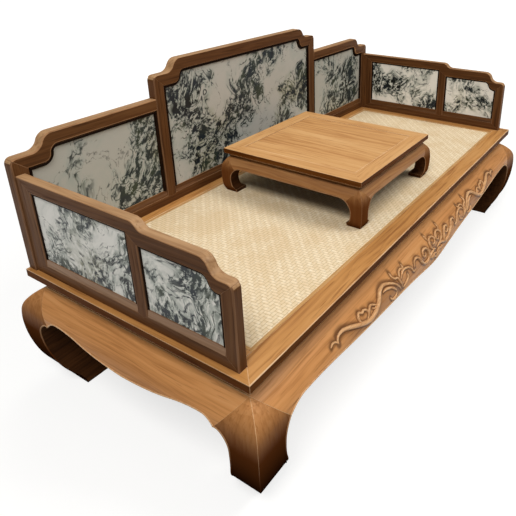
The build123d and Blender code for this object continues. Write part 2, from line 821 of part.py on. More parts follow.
centre_left = (
    (-CENTRE_IN, OPENING_FOOT),
    (-CENTRE_IN, CENTRE_Z - BACK_TOP_RAIL),
    (-CENTRE_NOTCH, CENTRE_Z - BACK_TOP_RAIL),
    (-CENTRE_NOTCH + BACK_OPENING_STEP_RUN, CENTRE_TOP_Z - BACK_TOP_RAIL),
)
left_wing_opening = outline(left_wing, (2,))
right_wing_opening = outline(tuple((-x, z) for x, z in reversed(left_wing)), (2,))
centre_opening = outline(centre_left + tuple((-x, z) for x, z in reversed(centre_left)), (2, 4))
back_openings = (left_wing_opening, centre_opening, right_wing_opening)

with BuildSketch(Plane.XY, mode=Mode.PRIVATE) as back_face:
    add(back_outline)
    for opening in back_openings:
        add(opening, mode=Mode.SUBTRACT)

back_left_stone = stone_panel(left_wing_opening, BACK_MIDDLE, BACK_SETTING.stone)
back_center_stone = stone_panel(centre_opening, BACK_MIDDLE, BACK_SETTING.stone)
back_right_stone = stone_panel(right_wing_opening, BACK_MIDDLE, BACK_SETTING.stone)
back_stones = (back_left_stone, back_center_stone, back_right_stone)
back_beading = beading(back_openings, BACK_MIDDLE, BACK_SETTING, faces=(1.0,))


def back_member(*corners: tuple) -> BuildPart:
    """A member of the back screen from the corners of its region."""
    return member(back_face.sketch, polygon(*corners), BACK_MIDDLE, BACK_THICKNESS, back_stones)


back_rail_body = back_member(
    (-BACK_X, RAIL_FOOT),
    (BACK_X, RAIL_FOOT),
    (WING_IN, OPENING_FOOT),
    *stile_foot(CENTRE_HALF, CENTRE_IN),
    *stile_foot(-CENTRE_IN, -CENTRE_HALF),
    (-WING_IN, OPENING_FOOT),
)
back_sills = sills(
    Plane.YZ,
    BACK_TENON_Y,
    BACK_SETTING,
    ((-WING_IN, -CENTRE_HALF), (-CENTRE_IN, CENTRE_IN), (CENTRE_HALF, WING_IN)),
)
with BuildPart() as back_bottom_rail:
    add(back_rail_body.part)
    add(back_sills.part)
    add(tenons(BACK_TENONS, True).part)

with BuildPart() as arm_keys:
    for key_z in KEY_Z:
        for turn in (-1.0, 1.0):
            with BuildSketch(Plane.XY.offset(key_z)):
                add(dovetail(turn * ARM_TENON_X, 0.0, KEY_LET_IN))
            extrude(amount=KEY_HEIGHT)

left_stile_blank = back_member(
    (-BACK_X, RAIL_FOOT),
    (-WING_IN, OPENING_FOOT),
    (-WING_IN, WING_Z - BACK_TOP_RAIL),
    (-BACK_X, WING_Z),
)
with BuildPart() as back_left_stile:
    add(left_stile_blank.part)
    add(arm_keys.part, mode=Mode.SUBTRACT)
back_right_stile = mirrored(back_left_stile, Plane.YZ)

back_left_inner_stile = back_member(
    *stile_foot(-CENTRE_HALF, -CENTRE_IN),
    (-CENTRE_IN, CENTRE_Z - BACK_TOP_RAIL),
    (-CENTRE_HALF, CENTRE_Z),
)
back_right_inner_stile = mirrored(back_left_inner_stile, Plane.YZ)

back_left_top_rail = back_member(
    (-BACK_X, WING_Z),
    (-WING_IN, WING_Z - BACK_TOP_RAIL),
    (-CENTRE_HALF, WING_Z - BACK_TOP_RAIL),
    (-CENTRE_HALF, WING_TOP_Z + 1.0),
    (-BACK_X, WING_TOP_Z + 1.0),
)
back_right_top_rail = mirrored(back_left_top_rail, Plane.YZ)

back_center_top_rail = back_member(
    (-CENTRE_HALF, CENTRE_Z),
    (-CENTRE_IN, CENTRE_Z - BACK_TOP_RAIL),
    (CENTRE_IN, CENTRE_Z - BACK_TOP_RAIL),
    (CENTRE_HALF, CENTRE_Z),
    (CENTRE_HALF, CENTRE_TOP_Z + 1.0),
    (-CENTRE_HALF, CENTRE_TOP_Z + 1.0),
)

# ------------------------------------------------------------------------------ left arm
ARM_MIDDLE = Plane.YZ.offset(-ARM_TENON_X)
ARM_REAR_Z = SEAT_HEIGHT + ARM_REAR_TOP
ARM_FRONT_Z = SEAT_HEIGHT + ARM_FRONT_TOP
ARM_SHOULDER_Z = SEAT_HEIGHT + ARM_SHOULDER
ARM_REAR_IN = ARM_REAR_Y - ARM_REAR_STILE
ARM_FRONT_IN = ARM_FRONT_Y + ARM_FRONT_STILE
ARM_MID_REAR = ARM_MID_Y + ARM_MID_STILE / 2
ARM_MID_FRONT = ARM_MID_Y - ARM_MID_STILE / 2
REAR_OPENING_TOP = ARM_REAR_Z - ARM_TOP_RAIL
FRONT_OPENING_TOP = ARM_FRONT_Z - ARM_FRONT_RAIL
FRONT_NOTCH_Z = ARM_SHOULDER_Z - ARM_TOP_RAIL
FRONT_NOTCH_Y = ARM_FRONT_IN + ARM_OPENING_STEP_IN

arm_outline = rounded_corner(
    outline(
        (
            (ARM_FRONT_Y, RAIL_FOOT),
            (ARM_FRONT_Y, ARM_SHOULDER_Z),
            (ARM_FRONT_Y + ARM_STEP_IN, ARM_SHOULDER_Z),
            (ARM_FRONT_Y + ARM_STEP_IN + ARM_STEP_RUN, ARM_FRONT_Z),
            (ARM_MID_Y - ARM_MID_STEP_RUN, ARM_FRONT_Z),
            (ARM_MID_Y, ARM_REAR_Z),
            (ARM_REAR_Y, ARM_REAR_Z),
            (ARM_REAR_Y, RAIL_FOOT),
        ),
        (2, 4),
    ),
    (ARM_FRONT_Y, ARM_SHOULDER_Z),
)
rear_opening = polygon(
    (ARM_MID_REAR, OPENING_FOOT),
    (ARM_MID_REAR, REAR_OPENING_TOP),
    (ARM_REAR_IN, REAR_OPENING_TOP),
    (ARM_REAR_IN, OPENING_FOOT),
)
front_opening = outline(
    (
        (ARM_FRONT_IN, OPENING_FOOT),
        (ARM_FRONT_IN, FRONT_NOTCH_Z),
        (FRONT_NOTCH_Y, FRONT_NOTCH_Z),
        (FRONT_NOTCH_Y + ARM_OPENING_STEP_RUN, FRONT_OPENING_TOP),
        (ARM_MID_FRONT, FRONT_OPENING_TOP),
        (ARM_MID_FRONT, OPENING_FOOT),
    ),
    (2,),
)
arm_openings = (rear_opening, front_opening)

with BuildSketch(Plane.XY, mode=Mode.PRIVATE) as arm_face:
    add(arm_outline)
    for opening in arm_openings:
        add(opening, mode=Mode.SUBTRACT)

left_arm_rear_stone = stone_panel(rear_opening, ARM_MIDDLE, ARM_SETTING.stone)
left_arm_front_stone = stone_panel(front_opening, ARM_MIDDLE, ARM_SETTING.stone)
arm_stones = (left_arm_rear_stone, left_arm_front_stone)
left_arm_beading = beading(arm_openings, ARM_MIDDLE, ARM_SETTING, faces=(-1.0, 1.0))


def arm_member(*corners: tuple) -> BuildPart:
    """A member of the left arm from the corners of its region."""
    return member(arm_face.sketch, polygon(*corners), ARM_MIDDLE, ARM_THICKNESS, arm_stones)


arm_rail_body = arm_member(
    (ARM_FRONT_Y, RAIL_FOOT),
    (ARM_REAR_Y, RAIL_FOOT),
    (ARM_REAR_IN, OPENING_FOOT),
    *stile_foot(ARM_MID_REAR, ARM_MID_FRONT),
    (ARM_FRONT_IN, OPENING_FOOT),
)
arm_sills = sills(
    Plane.XZ,
    -ARM_TENON_X,
    ARM_SETTING,
    ((-ARM_REAR_IN, -ARM_MID_REAR), (-ARM_MID_FRONT, -ARM_FRONT_IN)),
)
with BuildPart() as left_arm_bottom_rail:
    add(arm_rail_body.part)
    add(arm_sills.part)
    add(tenons(LEFT_ARM_TENONS, False).part)

rear_stile_blank = arm_member(
    (ARM_REAR_Y, RAIL_FOOT),
    (ARM_REAR_IN, OPENING_FOOT),
    (ARM_REAR_IN, REAR_OPENING_TOP),
    (ARM_REAR_Y, ARM_REAR_Z),
)
with BuildPart() as left_arm_rear_stile:
    add(rear_stile_blank.part)
    for key_z in KEY_Z:
        with BuildSketch(Plane.XY.offset(key_z)):
            add(dovetail(-ARM_TENON_X, FIT, FIT))
        extrude(amount=KEY_HEIGHT + FIT, mode=Mode.SUBTRACT)
        with BuildSketch(Plane.XY.offset(key_z)):
            with Locations((-ARM_TENON_X, BACK_FRONT_Y - (KEY_REACH + FIT) / 2)):
                Rectangle(KEY_TIP + 2 * FIT, KEY_REACH + FIT)
        extrude(amount=-(KEY_LIFT + FIT), mode=Mode.SUBTRACT)

left_arm_mid_stile = arm_member(
    *stile_foot(ARM_MID_FRONT, ARM_MID_REAR),
    (ARM_MID_REAR, REAR_OPENING_TOP),
    (ARM_MID_FRONT, FRONT_OPENING_TOP),
)
left_arm_front_stile = arm_member(
    (ARM_FRONT_Y, RAIL_FOOT),
    (ARM_FRONT_IN, OPENING_FOOT),
    (ARM_FRONT_IN, FRONT_NOTCH_Z),
    (ARM_FRONT_Y, ARM_SHOULDER_Z),
)
left_arm_top_rail = arm_member(
    (ARM_FRONT_Y, ARM_SHOULDER_Z),
    (ARM_FRONT_IN, FRONT_NOTCH_Z),
    (ARM_MID_FRONT, FRONT_NOTCH_Z),
    (ARM_MID_FRONT, FRONT_OPENING_TOP),
    (ARM_MID_REAR, REAR_OPENING_TOP),
    (ARM_REAR_IN, REAR_OPENING_TOP),
    (ARM_REAR_Y, ARM_REAR_Z),
    (ARM_REAR_Y, ARM_REAR_Z + 1.0),
    (ARM_FRONT_Y, ARM_REAR_Z + 1.0),
)

right_arm_bottom_rail = mirrored(left_arm_bottom_rail, Plane.YZ)
right_arm_rear_stile = mirrored(left_arm_rear_stile, Plane.YZ)
right_arm_mid_stile = mirrored(left_arm_mid_stile, Plane.YZ)
right_arm_front_stile = mirrored(left_arm_front_stile, Plane.YZ)
right_arm_top_rail = mirrored(left_arm_top_rail, Plane.YZ)
right_arm_rear_stone = mirrored(left_arm_rear_stone, Plane.YZ)
right_arm_front_stone = mirrored(left_arm_front_stone, Plane.YZ)
right_arm_beading = mirrored(left_arm_beading, Plane.YZ)

# ============================================================================== kang table
TABLE_HALF_X = TABLE_LENGTH / 2
TABLE_HALF_Y = TABLE_DEPTH / 2
TABLE_COVE = (TABLE_COVE_IN, TABLE_COVE_DROP, TABLE_COVE_LIP)
TABLE_FIELD_X = TABLE_LENGTH - 2 * TABLE_RAIL_WIDTH
TABLE_FIELD_Y = TABLE_DEPTH - 2 * TABLE_RAIL_WIDTH
PANEL_TOP = TABLE_TOP - TABLE_PANEL_DOWN
PANEL_FOOT = PANEL_TOP - TABLE_PANEL_THICKNESS

with BuildPart() as table_panel:
    with BuildSketch(Plane.XY.offset(PANEL_FOOT)):
        with Locations(TABLE.centre):
            Rectangle(TABLE_FIELD_X + 2 * GROOVE, TABLE_FIELD_Y + 2 * GROOVE)
    extrude(amount=TABLE_TONGUE)
    with BuildSketch(Plane.XY.offset(PANEL_FOOT)):
        with Locations(TABLE.centre):
            Rectangle(TABLE_FIELD_X - 2 * TABLE_PANEL_GAP, TABLE_FIELD_Y - 2 * TABLE_PANEL_GAP)
    extrude(amount=TABLE_PANEL_THICKNESS)

with BuildPart() as table_brace:
    with BuildSketch(Plane.XY.offset(PANEL_FOOT)):
        with Locations(TABLE.centre):
            Rectangle(TABLE_BRACE_WIDTH, TABLE_FIELD_Y)
    extrude(amount=-TABLE_BRACE_HEIGHT)


def table_rail(side: str) -> BuildPart:
    """One mitred rail of the table's frame, grooved for its panel."""
    along_x = side in ("front", "back")
    turn = 1.0 if side in ("front", "left") else -1.0
    half = TABLE_HALF_Y if along_x else TABLE_HALF_X
    middle = TABLE_Y if along_x else TABLE_X
    section = edge_section(
        middle - turn * half, turn, TABLE_TOP, TABLE_FASCIA, TABLE_COVE, TABLE_RAIL_WIDTH, 0.0
    )
    plan = border_plan(TABLE_HALF_X, TABLE_HALF_Y, side, TABLE_RAIL_WIDTH, TABLE.centre)
    with BuildPart() as rail:
        with BuildSketch(Plane.YZ if along_x else Plane.XZ):
            add(section)
        extrude(amount=TABLE_DEPTH, both=True)
        with BuildSketch(Plane.XY.offset(TABLE_UNDERSIDE)):
            add(plan)
        extrude(amount=TABLE_TOP - TABLE_UNDERSIDE, mode=Mode.INTERSECT)
        add(table_panel.part, mode=Mode.SUBTRACT)
    return rail


table_front_rail = table_rail("front")
table_back_rail = table_rail("back")
table_left_rail = table_rail("left")
table_right_rail = table_rail("right")

TABLE_WAIST = (TABLE_WAIST_IN, TABLE_WAIST_IN + TABLE_WAIST_THICKNESS)
TABLE_MIDDLE_X = Plane.YZ.offset(TABLE_X)
TABLE_MIDDLE_Y = Plane.XZ.offset(-TABLE_Y)
table_front_apron = apron(TABLE, "front", TABLE_ARCH, (), TABLE_ARCH[1], TABLE_WAIST)
table_left_apron = apron(TABLE, "left", TABLE_ARCH, (), TABLE_ARCH[1], TABLE_WAIST)
table_back_apron = mirrored(table_front_apron, TABLE_MIDDLE_Y)
table_right_apron = mirrored(table_left_apron, TABLE_MIDDLE_X)
table_front_left_leg = crossed_leg(
    TABLE,
    leg_view(TABLE, TABLE.left, TABLE.end_roll, TABLE_LEG_VIEW),
    leg_view(TABLE, TABLE.front, TABLE.front_roll, TABLE_LEG_VIEW),
    (table_front_apron, table_left_apron),
)
table_front_right_leg = mirrored(table_front_left_leg, TABLE_MIDDLE_X)
table_back_left_leg = mirrored(table_front_left_leg, TABLE_MIDDLE_Y)
table_back_right_leg = mirrored(table_back_left_leg, TABLE_MIDDLE_X)

# ============================================================================== export
os.makedirs("parts", exist_ok=True)
seat_front_rail.part.label = "seat_front_rail"
export_step(seat_front_rail.part, "parts/seat_front_rail.step")
seat_back_rail.part.label = "seat_back_rail"
export_step(seat_back_rail.part, "parts/seat_back_rail.step")
seat_left_rail.part.label = "seat_left_rail"
export_step(seat_left_rail.part, "parts/seat_left_rail.step")
seat_right_rail.part.label = "seat_right_rail"
export_step(seat_right_rail.part, "parts/seat_right_rail.step")
seat_board.part.label = "seat_board"
export_step(seat_board.part, "parts/seat_board.step")
seat_braces.part.label = "seat_braces"
export_step(seat_braces.part, "parts/seat_braces.step")
seat_mat.part.label = "seat_mat"
export_step(seat_mat.part, "parts/seat_mat.step")
mat_edging.part.label = "mat_edging"
export_step(mat_edging.part, "parts/mat_edging.step")
seat_waist.part.label = "seat_waist"
export_step(seat_waist.part, "parts/seat_waist.step")
front_apron.part.label = "front_apron"
export_step(front_apron.part, "parts/front_apron.step")
back_apron.part.label = "back_apron"
export_step(back_apron.part, "parts/back_apron.step")
left_apron.part.label = "left_apron"
export_step(left_apron.part, "parts/left_apron.step")
right_apron.part.label = "right_apron"
export_step(right_apron.part, "parts/right_apron.step")
front_left_leg.part.label = "front_left_leg"
export_step(front_left_leg.part, "parts/front_left_leg.step")
front_right_leg.part.label = "front_right_leg"
export_step(front_right_leg.part, "parts/front_right_leg.step")
back_left_leg.part.label = "back_left_leg"
export_step(back_left_leg.part, "parts/back_left_leg.step")
back_right_leg.part.label = "back_right_leg"
export_step(back_right_leg.part, "parts/back_right_leg.step")
back_bottom_rail.part.label = "back_bottom_rail"
export_step(back_bottom_rail.part, "parts/back_bottom_rail.step")
back_left_stile.part.label = "back_left_stile"
export_step(back_left_stile.part, "parts/back_left_stile.step")
back_left_inner_stile.part.label = "back_left_inner_stile"
export_step(back_left_inner_stile.part, "parts/back_left_inner_stile.step")
back_right_inner_stile.part.label = "back_right_inner_stile"
export_step(back_right_inner_stile.part, "parts/back_right_inner_stile.step")
back_right_stile.part.label = "back_right_stile"
export_step(back_right_stile.part, "parts/back_right_stile.step")
back_left_top_rail.part.label = "back_left_top_rail"
export_step(back_left_top_rail.part, "parts/back_left_top_rail.step")
back_center_top_rail.part.label = "back_center_top_rail"
export_step(back_center_top_rail.part, "parts/back_center_top_rail.step")
back_right_top_rail.part.label = "back_right_top_rail"
export_step(back_right_top_rail.part, "parts/back_right_top_rail.step")
back_left_stone.part.label = "back_left_stone"
export_step(back_left_stone.part, "parts/back_left_stone.step")
back_center_stone.part.label = "back_center_stone"
export_step(back_center_stone.part, "parts/back_center_stone.step")
back_right_stone.part.label = "back_right_stone"
export_step(back_right_stone.part, "parts/back_right_stone.step")
back_beading.part.label = "back_beading"
export_step(back_beading.part, "parts/back_beading.step")
arm_keys.part.label = "arm_keys"
export_step(arm_keys.part, "parts/arm_keys.step")
left_arm_bottom_rail.part.label = "left_arm_bottom_rail"
export_step(left_arm_bottom_rail.part, "parts/left_arm_bottom_rail.step")
left_arm_rear_stile.part.label = "left_arm_rear_stile"
export_step(left_arm_rear_stile.part, "parts/left_arm_rear_stile.step")
left_arm_mid_stile.part.label = "left_arm_mid_stile"
export_step(left_arm_mid_stile.part, "parts/left_arm_mid_stile.step")
left_arm_front_stile.part.label = "left_arm_front_stile"
export_step(left_arm_front_stile.part, "parts/left_arm_front_stile.step")
left_arm_top_rail.part.label = "left_arm_top_rail"
export_step(left_arm_top_rail.part, "parts/left_arm_top_rail.step")
left_arm_rear_stone.part.label = "left_arm_rear_stone"
export_step(left_arm_rear_stone.part, "parts/left_arm_rear_stone.step")
left_arm_front_stone.part.label = "left_arm_front_stone"
export_step(left_arm_front_stone.part, "parts/left_arm_front_stone.step")
left_arm_beading.part.label = "left_arm_beading"
export_step(left_arm_beading.part, "parts/left_arm_beading.step")
right_arm_bottom_rail.part.label = "right_arm_bottom_rail"
export_step(right_arm_bottom_rail.part, "parts/right_arm_bottom_rail.step")
right_arm_rear_stile.part.label = "right_arm_rear_stile"
export_step(right_arm_rear_stile.part, "parts/right_arm_rear_stile.step")
right_arm_mid_stile.part.label = "right_arm_mid_stile"
export_step(right_arm_mid_stile.part, "parts/right_arm_mid_stile.step")
right_arm_front_stile.part.label = "right_arm_front_stile"
export_step(right_arm_front_stile.part, "parts/right_arm_front_stile.step")
right_arm_top_rail.part.label = "right_arm_top_rail"
export_step(right_arm_top_rail.part, "parts/right_arm_top_rail.step")
right_arm_rear_stone.part.label = "right_arm_rear_stone"
export_step(right_arm_rear_stone.part, "parts/right_arm_rear_stone.step")
right_arm_front_stone.part.label = "right_arm_front_stone"
export_step(right_arm_front_stone.part, "parts/right_arm_front_stone.step")
right_arm_beading.part.label = "right_arm_beading"
export_step(right_arm_beading.part, "parts/right_arm_beading.step")
table_front_rail.part.label = "table_front_rail"
export_step(table_front_rail.part, "parts/table_front_rail.step")
table_back_rail.part.label = "table_back_rail"
export_step(table_back_rail.part, "parts/table_back_rail.step")
table_left_rail.part.label = "table_left_rail"
export_step(table_left_rail.part, "parts/table_left_rail.step")
table_right_rail.part.label = "table_right_rail"
export_step(table_right_rail.part, "parts/table_right_rail.step")
table_panel.part.label = "table_panel"
export_step(table_panel.part, "parts/table_panel.step")
table_brace.part.label = "table_brace"
export_step(table_brace.part, "parts/table_brace.step")
table_front_apron.part.label = "table_front_apron"
export_step(table_front_apron.part, "parts/table_front_apron.step")
table_back_apron.part.label = "table_back_apron"
export_step(table_back_apron.part, "parts/table_back_apron.step")
table_left_apron.part.label = "table_left_apron"
export_step(table_left_apron.part, "parts/table_left_apron.step")
table_right_apron.part.label = "table_right_apron"
export_step(table_right_apron.part, "parts/table_right_apron.step")
table_front_left_leg.part.label = "table_front_left_leg"
export_step(table_front_left_leg.part, "parts/table_front_left_leg.step")
table_front_right_leg.part.label = "table_front_right_leg"
export_step(table_front_right_leg.part, "parts/table_front_right_leg.step")
table_back_left_leg.part.label = "table_back_left_leg"
export_step(table_back_left_leg.part, "parts/table_back_left_leg.step")
table_back_right_leg.part.label = "table_back_right_leg"
export_step(table_back_right_leg.part, "parts/table_back_right_leg.step")
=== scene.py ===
import json
import logging
import math
from dataclasses import dataclass, field, replace
from enum import Enum

import bmesh
import bpy
import numpy as np
from mathutils import Matrix, Vector
from mathutils.bvhtree import BVHTree


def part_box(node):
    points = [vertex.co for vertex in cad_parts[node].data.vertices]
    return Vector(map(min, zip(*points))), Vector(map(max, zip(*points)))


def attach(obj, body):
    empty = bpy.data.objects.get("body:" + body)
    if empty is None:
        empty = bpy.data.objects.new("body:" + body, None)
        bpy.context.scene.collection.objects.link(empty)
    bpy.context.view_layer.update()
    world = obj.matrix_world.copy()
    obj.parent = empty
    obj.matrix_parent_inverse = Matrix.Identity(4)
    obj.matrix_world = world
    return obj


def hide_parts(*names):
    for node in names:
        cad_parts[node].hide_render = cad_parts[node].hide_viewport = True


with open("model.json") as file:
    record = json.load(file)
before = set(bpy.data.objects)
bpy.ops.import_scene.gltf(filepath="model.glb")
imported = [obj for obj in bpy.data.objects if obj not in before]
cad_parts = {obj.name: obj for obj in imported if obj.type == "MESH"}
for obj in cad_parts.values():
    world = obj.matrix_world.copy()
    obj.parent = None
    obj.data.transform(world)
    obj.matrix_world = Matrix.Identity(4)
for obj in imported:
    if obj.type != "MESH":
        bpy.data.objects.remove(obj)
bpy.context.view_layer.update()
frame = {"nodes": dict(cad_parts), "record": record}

# A luohan daybed of oiled rosewood with veined stone panels, a woven cane mat and a kang table.
# Lengths are metres in the bed's own frame: +X along the bed, +Y to the back screen, +Z up.

log = logging.getLogger("daybed")
MM = 0.001
MERGE = 2e-6
BURIED_SHARE = 0.35
BODIES = frame["record"]["behaviour"]["bodies"]
OUTWARD = {
    "front": Vector((0, -1, 0)), "back": Vector((0, 1, 0)),
    "left": Vector((-1, 0, 0)), "right": Vector((1, 0, 0)),
}
Tree = bpy.types.NodeTree
Node = bpy.types.Node
Socket = bpy.types.NodeSocket
Material = bpy.types.Material
Value = Socket | float
Array = np.ndarray
Rib = tuple[np.ndarray, np.ndarray]
Spot = tuple[float, float, float]


# ------------------------------------------------------------------------------ shader tools
def linear(code: str) -> tuple[float, float, float, float]:
    """Turn an sRGB hex colour into linear light, by the standard's own curve.

    Args:
        code: Colour such as "#C8925A".

    Returns:
        Linear red, green, blue and an alpha of one.
    """
    parts = [int(code[i : i + 2], 16) / 255 for i in (1, 3, 5)]
    light = [c / 12.92 if c <= 0.04045 else ((c + 0.055) / 1.055) ** 2.4 for c in parts]
    return (light[0], light[1], light[2], 1.0)


def add_node(tree: Tree, kind: str, links: dict | None = None, **values: object) -> Node:
    """Add one shader node.

    Args:
        tree: Node tree that receives the node.
        kind: Blender's type name without its "ShaderNode" prefix.
        links: Output sockets to plug in, by input name or number.
        values: Properties of the node, or socket values by name with _ for a space; a key such
            as at2 sets input number 2.

    Returns:
        The new node.
    """
    made = tree.nodes.new("ShaderNode" + kind)
    sockets = {socket.name.replace(" ", "_"): socket for socket in reversed(made.inputs)}
    for key, value in values.items():
        if key.startswith("at") and key[2:].isdigit():
            made.inputs[int(key[2:])].default_value = value
        elif key in sockets:
            sockets[key].default_value = value
        else:
            setattr(made, key, value)
    for key, source in (links or {}).items():
        tree.links.new(source, made.inputs[key])
    return made


def math_node(tree: Tree, operation: str, first: Value, second: Value | None = None) -> Socket:
    """Combine values; each one is a socket or a number.

    Args:
        tree: Node tree.
        operation: Blender's name of the operation.
        first: First value.
        second: Second value, for operations that take two.

    Returns:
        The result.
    """
    made = add_node(tree, "Math", operation=operation)
    for place, value in enumerate((first, second)):
        if isinstance(value, Socket):
            tree.links.new(value, made.inputs[place])
        elif value is not None:
            made.inputs[place].default_value = value
    return made.outputs["Value"]


def times(tree: Tree, first: Value, second: Value) -> Socket:
    """Multiply two values."""
    return math_node(tree, "MULTIPLY", first, second)


def away_from(tree: Tree, value: Value, level: float) -> Socket:
    """How far a value lies from a level."""
    return math_node(tree, "ABSOLUTE", math_node(tree, "SUBTRACT", value, level))


def noise(
    tree: Tree, place: Socket, scale: float, detail: float = 2.0, rough: float = 0.5, output: str = "Fac",
) -> Socket:
    """Noise at a place, its scale counted per metre."""
    made = add_node(tree, "TexNoise", {"Vector": place}, Scale=scale, Detail=detail, Roughness=rough)
    return made.outputs[output]


def mapped(tree: Tree, place: Socket, **values: object) -> Socket:
    """Move, turn or stretch a place."""
    return add_node(tree, "Mapping", {"Vector": place}, **values).outputs["Vector"]


def pushed(tree: Tree, place: Socket, source: Socket, amount: Spot) -> Socket:
    """Push a place aside by a noise colour times an amount along each axis."""
    push = add_node(tree, "VectorMath", {0: source}, operation="MULTIPLY", at1=amount).outputs["Vector"]
    return add_node(tree, "VectorMath", {0: place, 1: push}, operation="ADD").outputs["Vector"]


def band(tree: Tree, value: Socket, low: float, high: float, start: float = 0.0, end: float = 1.0) -> Socket:
    """Map a value smoothly from one range to another, held at both ends.

    Args:
        tree: Node tree.
        value: Value to map.
        low: Where the change begins.
        high: Where it ends.
        start: Result up to low.
        end: Result from high on.

    Returns:
        The result.
    """
    made = add_node(
        tree, "MapRange", {"Value": value}, interpolation_type="SMOOTHSTEP",
        From_Min=low, From_Max=high, To_Min=start, To_Max=end,
    )
    return made.outputs["Result"]


def ramp(tree: Tree, source: Socket, stops: list[tuple[float, str]]) -> Socket:
    """Colour a value by stops.

    Args:
        tree: Node tree.
        source: Value from 0 to 1.
        stops: Places from 0 to 1, each with its hex colour.

    Returns:
        The colour.
    """
    made = add_node(tree, "ValToRGB", {"Fac": source})
    elements = made.color_ramp.elements
    while len(elements) < len(stops):
        elements.new(0.5)
    for element, (place, code) in zip(elements, stops):
        element.position = place
        element.color = linear(code)
    return made.outputs["Color"]


def tint(tree: Tree, colour: Socket | str, other: Socket | str, share: Value) -> Socket:
    """Blend a colour towards another.

    Args:
        tree: Node tree.
        colour: Colour at a share of 0.
        other: Colour at a share of 1.
        share: How much of the other is taken.

    Returns:
        The blend.
    """
    made = add_node(tree, "Mix", data_type="RGBA")
    for place, value in ((0, share), (6, colour), (7, other)):
        if isinstance(value, Socket):
            tree.links.new(value, made.inputs[place])
        else:
            made.inputs[place].default_value = linear(value) if isinstance(value, str) else value
    return made.outputs[2]


def plug(tree: Tree, shader: Node, **sources: Socket) -> None:
    """Link outputs to a shader's inputs, which are named with _ for a space."""
    for key, source in sources.items():
        tree.links.new(source, shader.inputs[key.replace("_", " ")])


def start_material(name: str, **values: object) -> tuple[Material, Tree, Node, Socket]:
    """Make a material with a Principled shader and Object coordinates.

    Args:
        name: Name of the finish.
        values: Values of the shader that are the same all over.

    Returns:
        The material, its tree, the shader and the coordinate output.
    """
    material = bpy.data.materials.new(name)
    material.use_nodes = True
    tree = material.node_tree
    tree.nodes.clear()
    shader = add_node(tree, "BsdfPrincipled", **values)
    add_node(tree, "OutputMaterial", {"Surface": shader.outputs["BSDF"]})
    place = add_node(tree, "TexCoord").outputs["Object"]
    return material, tree, shader, place


# ------------------------------------------------------------------------------ finishes
class Grain(Enum):
    """The way the fibres of a piece run, as the turn that brings them onto the pattern's X."""

    ALONG_X = (0.0, 0.0, 0.0)
    ALONG_Y = (0.0, 0.0, math.pi / 2)
    ALONG_Z = (0.0, math.pi / 2, 0.0)


@dataclass(frozen=True)
class Tone:
    """Three colours of one wood: pore lines, body and light streaks."""

    deep: str
    body: str
    light: str


# Level tops of the seat and table take these honey tones, and their upright and under faces the darker
# copies below: painted light and shade.
HONEY = Tone("#834F24", "#BC8448", "#CE995C")
TABLE_HONEY = Tone("#A8713C", "#CE9A60", "#DCAE76")
TABLE_APRON = Tone("#6B4020", "#9A693C", "#B38554")
AMBER = Tone("#A56C3A", "#CC8E54", "#D89E66")
# Painted highlight: a lighter tone for the carved ribs.
CARVED_HIGHLIGHT = Tone("#B07A4A", "#DDAA76", "#EBC294")
# Shaded copy for the upright faces of rails and stiles: painted shade.
WALNUT = Tone("#3A2210", "#5E3B1F", "#704C2C")
# Painted shade: darker copies for fascias, faces turned inward or under, bead crowns, grooves, coves and the
# waist.
FASCIA = Tone("#361906", "#5C310D", "#704318")
INNER = Tone("#26140A", "#452813", "#54341C")
DARK_BEAD = Tone("#140A05", "#23140A", "#311E10")
SHADE = Tone("#0A0503", "#170C07", "#20120A")
# Lit copy for the level faces of rails and stiles: painted light.
TOP_BROWN = Tone("#7E5836", "#A9825A", "#BC956C")
# Painted sheen: a pale tone for the level faces and outward slopes of the arms' bottom rails.
SILL_SHEEN = Tone("#6E543E", "#8C6C52", "#9E7F64")
# Painted highlights: light tones for rounded arrises, raised beads and the sills of beadings.
ARRIS_HIGHLIGHT = Tone("#B98656", "#D8AC7E", "#E6C298")
ARRIS_HIGHLIGHT_DARK = Tone("#7A5538", "#A07650", "#B48A64")
ARRIS_HIGHLIGHT_STILE = Tone("#50351F", "#775439", "#8A6446")
PINE = Tone("#A8834F", "#C9A878", "#DCC090")
STRIP = Tone("#9A6E3C", "#C2935A", "#D2AA74")
# Painted shade that darkens the feet.
FOOT_SHADE_BROWN = "#5A3014"
FOOT_SHADE_BLACK = "#180A04"
# Painted shadow on the ground beside the carving.
PAINTED_SHADOW_BROWN = "#3A1E0D"

# How closely each part of the figure repeats: waves per metre along the fibres, then across them.
CLOUD_WAVES = (0.9, 5.0, 5.0)
STREAK_WAVES = (2.2, 76.0, 76.0)
PORE_WAVES = (7.0, 150.0, 150.0)
# How much of each part the figure takes.
RING_SHARE, STREAK_SHARE, CLOUD_SHARE = 0.08, 0.62, 0.50
# Levels of the figure that get the darkest and the lightest colour, and those at which pores show.
FIGURE_SPAN, PORE_SPAN, PORE_DARKNESS = (0.24, 0.96), (0.54, 0.70), 0.6
# How far a piece's shift moves its pattern along each axis.
SHIFT_WAYS = (1.0, 0.37, 0.71)


